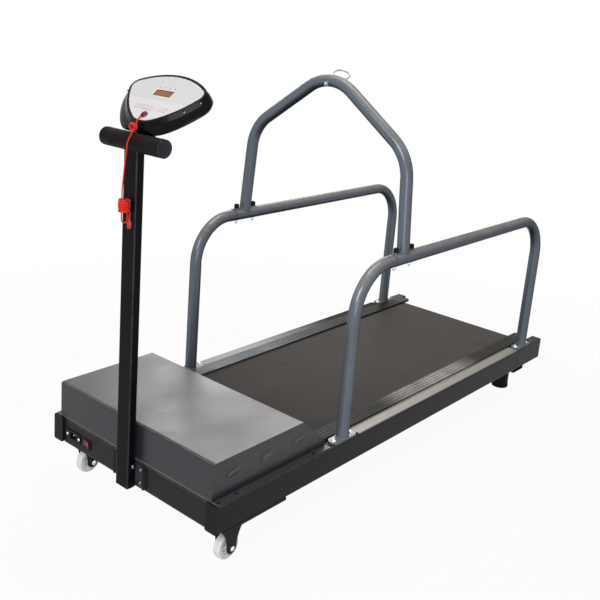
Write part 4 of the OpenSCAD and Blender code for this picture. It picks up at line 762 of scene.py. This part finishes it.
def foam_grip():
    low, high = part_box("handlebar_grip")
    centre = (low + high) / 2
    bm = bmesh.new()
    rings = []
    for y, r in grip_profile((high.y - low.y) / 2, (high.z - low.z) / 2):
        ring = []
        for a in circle(GRIP_SIDES):
            skin = grip_radius(y, r, a)
            ring.append(bm.verts.new(centre + Vector((skin * math.cos(a), y, skin * math.sin(a)))))
        rings.append(ring)
    for i in range(len(rings)):
        k = (i + 1) % len(rings)
        for j in range(GRIP_SIDES):
            m = (j + 1) % GRIP_SIDES
            bm.faces.new((rings[i][j], rings[k][j], rings[k][m], rings[i][m]))
    bmesh.ops.recalc_face_normals(bm, faces=bm.faces)
    grip = new_object("foam_grip", bm, FOAM, "frame")
    bar_v = BAR_X * math.cos(TILT) + (BAR_Z - FACE_Z) * math.sin(TILT)
    at_mast = Matrix.Translation(at(BAR_X, 0, BAR_Z - MAST_DOWN))
    at_plate = Matrix.Translation(face_place(bar_v + PLATE_MID, 0, PLATE_N))
    cutters = [add_cut(grip, "cut_mast", MAST_CUT, at_mast),
               add_cut(grip, "cut_plate", PLATE_CUT, at_plate @ Matrix.Rotation(-TILT, 4, "Y"))]
    bpy.context.view_layer.update()
    done = bpy.data.meshes.new_from_object(grip.evaluated_get(bpy.context.evaluated_depsgraph_get()))
    grip.modifiers.clear()
    grip.data = done
    dress(grip, FOAM)
    for cutter in cutters:
        bpy.data.objects.remove(cutter)
    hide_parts("handlebar_grip")


foam_grip()

# Console shells: the solids' own form, shaded as smooth mouldings

CREASE = math.radians(38)


def smooth_shell(name, node):
    """Copy of a console moulding, smooth but for its sharp creases."""
    bm = bmesh.new()
    bm.from_mesh(nodes[node].data)
    bmesh.ops.remove_doubles(bm, verts=bm.verts, dist=1e-5)
    shell = new_object(name, bm, GLOSS, "frame")
    if "custom_normal" in shell.data.attributes:
        shell.data.attributes.remove(shell.data.attributes["custom_normal"])
    shell.data.set_sharp_from_angle(angle=CREASE)
    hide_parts(node)


smooth_shell("console_housing", "console_base")
smooth_shell("console_rim", "console_bezel")

# Small fittings: weld beads, console print, inlet pins and switch marks

# Legs of the handrails and of the arch, and the axes of the handrails' top runs, in millimetres
POST_X = (530, 1665)
HANDRAIL_Y, HANDRAIL_Z = 322, 716
ARCH_X, ARCH_LEG_IN = 748, 1.3
# Beads: round a post on its flange, and round an arch leg on the saddle that goes over the handrail
POST_BEAD_R, POST_BEAD_Z = 19.3, 211.6
LEG_BEAD_R, SADDLE_BEAD_R = 19.1, 21.6
BEAD_POINTS, BEAD_SIDES = 96, 8
# Radius of a bead in metres, and its ripple, which comes every four points
BEAD_R, RIPPLE = 0.0018, 0.16


def bead(bm, path):
    """Closed weld bead along a ring of points, rippled along its length."""
    n = len(path)
    rings = []
    for i, p in enumerate(path):
        t = (path[(i + 1) % n] - path[i - 1]).normalized()
        out = Vector((0, 0, 1)).cross(t).normalized()
        up = t.cross(out)
        r = BEAD_R * (1 + RIPPLE * math.sin(2 * math.pi * i / 4))
        rings.append([bm.verts.new(p + r * (math.cos(a) * out + math.sin(a) * up))
                      for a in circle(BEAD_SIDES)])
    for i in range(n):
        for j in range(BEAD_SIDES):
            k, m = (j + 1) % BEAD_SIDES, (i + 1) % n
            bm.faces.new((rings[i][j], rings[i][k], rings[m][k], rings[m][j]))


def welds():
    bm = bmesh.new()
    for x in POST_X:
        for y in (-HANDRAIL_Y, HANDRAIL_Y):
            bead(bm, [at(x + POST_BEAD_R * math.cos(a), y + POST_BEAD_R * math.sin(a), POST_BEAD_Z)
                      for a in circle(BEAD_POINTS)])
    for s in (-1, 1):
        ring = []
        for a in circle(BEAD_POINTS):
            across = LEG_BEAD_R * math.sin(a)
            lift = math.sqrt(SADDLE_BEAD_R ** 2 - across ** 2)
            ring.append(at(ARCH_X + LEG_BEAD_R * math.cos(a), s * (HANDRAIL_Y - ARCH_LEG_IN) + across,
                           HANDRAIL_Z + lift))
        bead(bm, ring)
    bmesh.ops.recalc_face_normals(bm, faces=bm.faces)
    new_object("tube_welds", bm, TUBE, "frame")


welds()

# Parts of a quarter turn at the corners of flat pieces
CORNER_PARTS = 4


def rounded(cx, cy, lx, ly, r):
    """Outline of a rectangle with round corners."""
    out = []
    for k, (sx, sy) in enumerate(((1, 1), (-1, 1), (-1, -1), (1, -1))):
        for i in range(CORNER_PARTS + 1):
            a = math.pi / 2 * (k + i / CORNER_PARTS)
            out.append((cx + sx * (lx / 2 - r) + r * math.cos(a), cy + sy * (ly / 2 - r) + r * math.sin(a)))
    return out


def inward(loop, d):
    """The outline moved in by a distance."""
    out = []
    for i, (x, y) in enumerate(loop):
        (ax, ay), (bx, by) = loop[i - 1], loop[(i + 1) % len(loop)]
        tx, ty = bx - ax, by - ay
        length = math.hypot(tx, ty)
        out.append((x - d * ty / length, y + d * tx / length))
    return out


def pad(bm, loop, place, low, high, edge, hole=None):
    """Plate with softened top edges between two heights; a hole makes it a frame."""
    def ring(points, z):
        return [bm.verts.new(place(x, y, z)) for x, y in points]

    def wall(a, b):
        for i in range(len(a)):
            k = (i + 1) % len(a)
            bm.faces.new((a[i], a[k], b[k], b[i]))

    outer = [ring(loop, low), ring(loop, high - edge), ring(inward(loop, edge), high)]
    wall(outer[0], outer[1])
    wall(outer[1], outer[2])
    if hole is None:
        bm.faces.new(outer[2])
        bm.faces.new(list(reversed(outer[0])))
    else:
        inner = [ring(hole, low), ring(hole, high - edge), ring(inward(hole, -edge), high)]
        wall(inner[1], inner[0])
        wall(inner[2], inner[1])
        wall(outer[2], inner[2])
        wall(inner[0], outer[0])


# Window, rows of keys and lamps: places up the console face and across it, in millimetres
WINDOW_V = 101
MEMBRANE_ROWS, MEMBRANE_COUNT, MEMBRANE_STEP = (53, 43.5), 9, 13.4
LAMP_V, LAMP_U = 121, (27, 9, -9, -27)


def console_print():
    """Border and mask of the window, two rows of keys and four lamps."""
    bm = bmesh.new()
    pad(bm, rounded(WINDOW_V, 0, 28.5, 70.5, 3), face_place, -0.2, 0.5, 0.25,
        hole=rounded(WINDOW_V, 0, 20.4, 62.4, 1.2))
    fitting("window_border", bm, PALE)
    bm = bmesh.new()
    pad(bm, rounded(WINDOW_V, 0, 20.2, 62.2, 1.2), face_place, -0.5, 0.1, 0.1,
        hole=rounded(WINDOW_V, 0, 16.6, 58.6, 0.8))
    fitting("window_mask", bm, GLOSS)
    bm = bmesh.new()
    for v in MEMBRANE_ROWS:
        for i in range(MEMBRANE_COUNT):
            u = (i - MEMBRANE_COUNT // 2) * MEMBRANE_STEP
            pad(bm, rounded(v, u, 6.2, 10.4, 1.4), face_place, -0.2, 0.35, 0.2)
    fitting("membrane_keys", bm, PINK)
    bm = bmesh.new()
    for u in LAMP_U:
        pad(bm, rounded(LAMP_V, u, 3.2, 3.2, 1.5), face_place, -0.2, 0.4, 0.3)
    fitting("status_lamps", bm, WINDOW)


console_print()

# Inlet: the pins' root, 1 mm clear of the socket's floor, and their places across and up
INLET = (21, 256, 159)
PINS = ((-7, -2), (0, 3), (7, -2))
PIN_L = 9.6


def inlet_pins():
    bm = bmesh.new()
    for y, z in PINS:
        def place(a, b, c, y=y, z=z):
            return at(INLET[0] - c, INLET[1] + y + a, INLET[2] + z + b)
        pad(bm, rounded(0, 0, 2.5, 6.5, 0.8), place, 0, PIN_L, 0.6)
    fitting("inlet_pins", bm, CHROME)


inlet_pins()

# Axis of the rocker, its turn at rest, the middle of each half of its face, and that half's slope
ROCKER = (11.5, 193, 159)
ROCKER_TURN = math.radians(-8)
HALF_OUT, HALF_Y = 6.4, 6.55
SLOPE_SIN, SLOPE_COS = 0.237, 0.972


def switch_marks():
    bm = bmesh.new()
    for s, loop, hole in ((1, rounded(0, 0, 1.3, 6.5, 0.5), None),
                          (-1, rounded(0, 0, 5.8, 6.5, 2.8), rounded(0, 0, 3.6, 4.3, 1.7))):
        def place(a, b, c, s=s):
            x = -HALF_OUT - SLOPE_SIN * a - SLOPE_COS * c
            y = s * (HALF_Y + SLOPE_COS * a - SLOPE_SIN * c)
            out = x * math.cos(ROCKER_TURN) - y * math.sin(ROCKER_TURN)
            across = x * math.sin(ROCKER_TURN) + y * math.cos(ROCKER_TURN)
            return at(ROCKER[0] + out, ROCKER[1] + across, ROCKER[2] + b)
        pad(bm, loop, place, -0.1, 0.25, 0.1, hole)
    fitting("switch_marks", bm, WHITE, "rocker_body")


switch_marks()

# Stage and light


def seen_by_eye(tree):
    """1 for rays that the camera, a glossy or a clear surface sends out."""
    path = tree.nodes.new("ShaderNodeLightPath")
    out = path.outputs["Is Camera Ray"]
    for name in ("Is Glossy Ray", "Is Transmission Ray"):
        n = tree.nodes.new("ShaderNodeMath")
        n.operation = "MAXIMUM"
        tree.links.new(out, n.inputs[0])
        tree.links.new(path.outputs[name], n.inputs[1])
        out = n.outputs[0]
    return out


def lay_floor():
    """Pale floor that catches soft shadows near the part and fades into the white backdrop."""
    bm = bmesh.new()
    bmesh.ops.create_grid(bm, x_segments=8, y_segments=8, size=20)
    mesh = bpy.data.meshes.new("floor")
    bm.to_mesh(mesh)
    bm.free()
    floor = bpy.data.objects.new("floor", mesh)
    scene.collection.objects.link(floor)
    s = Shader("floor", (0.64, 0.64, 0.64), 0.9, Specular_IOR_Level=0.1)
    s.set_color(s.tint(s.spread(s.noise(1.5, 3), 0, 1), 0.99, 1.01))
    away = s.nodes.new("ShaderNodeVectorMath")
    away.operation = "LENGTH"
    s.links.new(s.coord(), away.inputs[0])
    # From 1.2 to 2.4 m out, the floor turns into plain white
    fade = s.spread(away.outputs["Value"], 0.95, 1.0, 1.2, 2.4)
    share = s.math("MULTIPLY", fade, seen_by_eye(s.mat.node_tree))
    glow = s.nodes.new("ShaderNodeEmission")
    glow.inputs["Color"].default_value = (1, 1, 1, 1)
    glow.inputs["Strength"].default_value = 1.0
    mix = s.nodes.new("ShaderNodeMixShader")
    s.links.new(share, mix.inputs["Fac"])
    s.links.new(s.bsdf.outputs[0], mix.inputs[1])
    s.links.new(glow.outputs[0], mix.inputs[2])
    out = next(n for n in s.nodes if n.type == "OUTPUT_MATERIAL")
    s.links.new(mix.outputs[0], out.inputs["Surface"])
    mesh.materials.append(s.mat)


lay_floor()


def softbox(name, place, target, size, power, size_y=None):
    """Area light that faces a target and can't be seen itself."""
    data = bpy.data.lights.new(name, "AREA")
    data.shape = "RECTANGLE"
    data.size = size
    data.size_y = size_y or size
    data.energy = power
    lamp = bpy.data.objects.new(name, data)
    lamp.location = place
    lamp.rotation_euler = (Vector(target) - Vector(place)).to_track_quat("-Z", "Y").to_euler()
    lamp.visible_camera = False
    scene.collection.objects.link(lamp)


softbox("key", (-4.0, -1.2, 3.0), (0, 0, 0.5), 2.2, 106)
softbox("top", (0.2, 0.5, 4.2), (0.1, 0, 0.3), 2.6, 52)
softbox("rear", (2.45, 2.45, 2.25), (-0.65, 0, 0.3), 1.9, 56, 1.7)
softbox("low_fill", (-3.0, -2.7, 0.7), (-0.6, -0.2, 0.15), 1.6, 28)

# The backdrop is seen as white, and gives only a little of the light
world = bpy.data.worlds.new("world")
scene.world = world
world.use_nodes = True
tree = world.node_tree
strength = tree.nodes.new("ShaderNodeMapRange")
strength.inputs["To Min"].default_value = 0.16
strength.inputs["To Max"].default_value = 1.0
tree.links.new(seen_by_eye(tree), strength.inputs["Value"])
tree.links.new(strength.outputs["Result"], tree.nodes["Background"].inputs["Strength"])
tree.nodes["Background"].inputs["Color"].default_value = (1, 1, 1, 1)

bpy.context.view_layer.update()
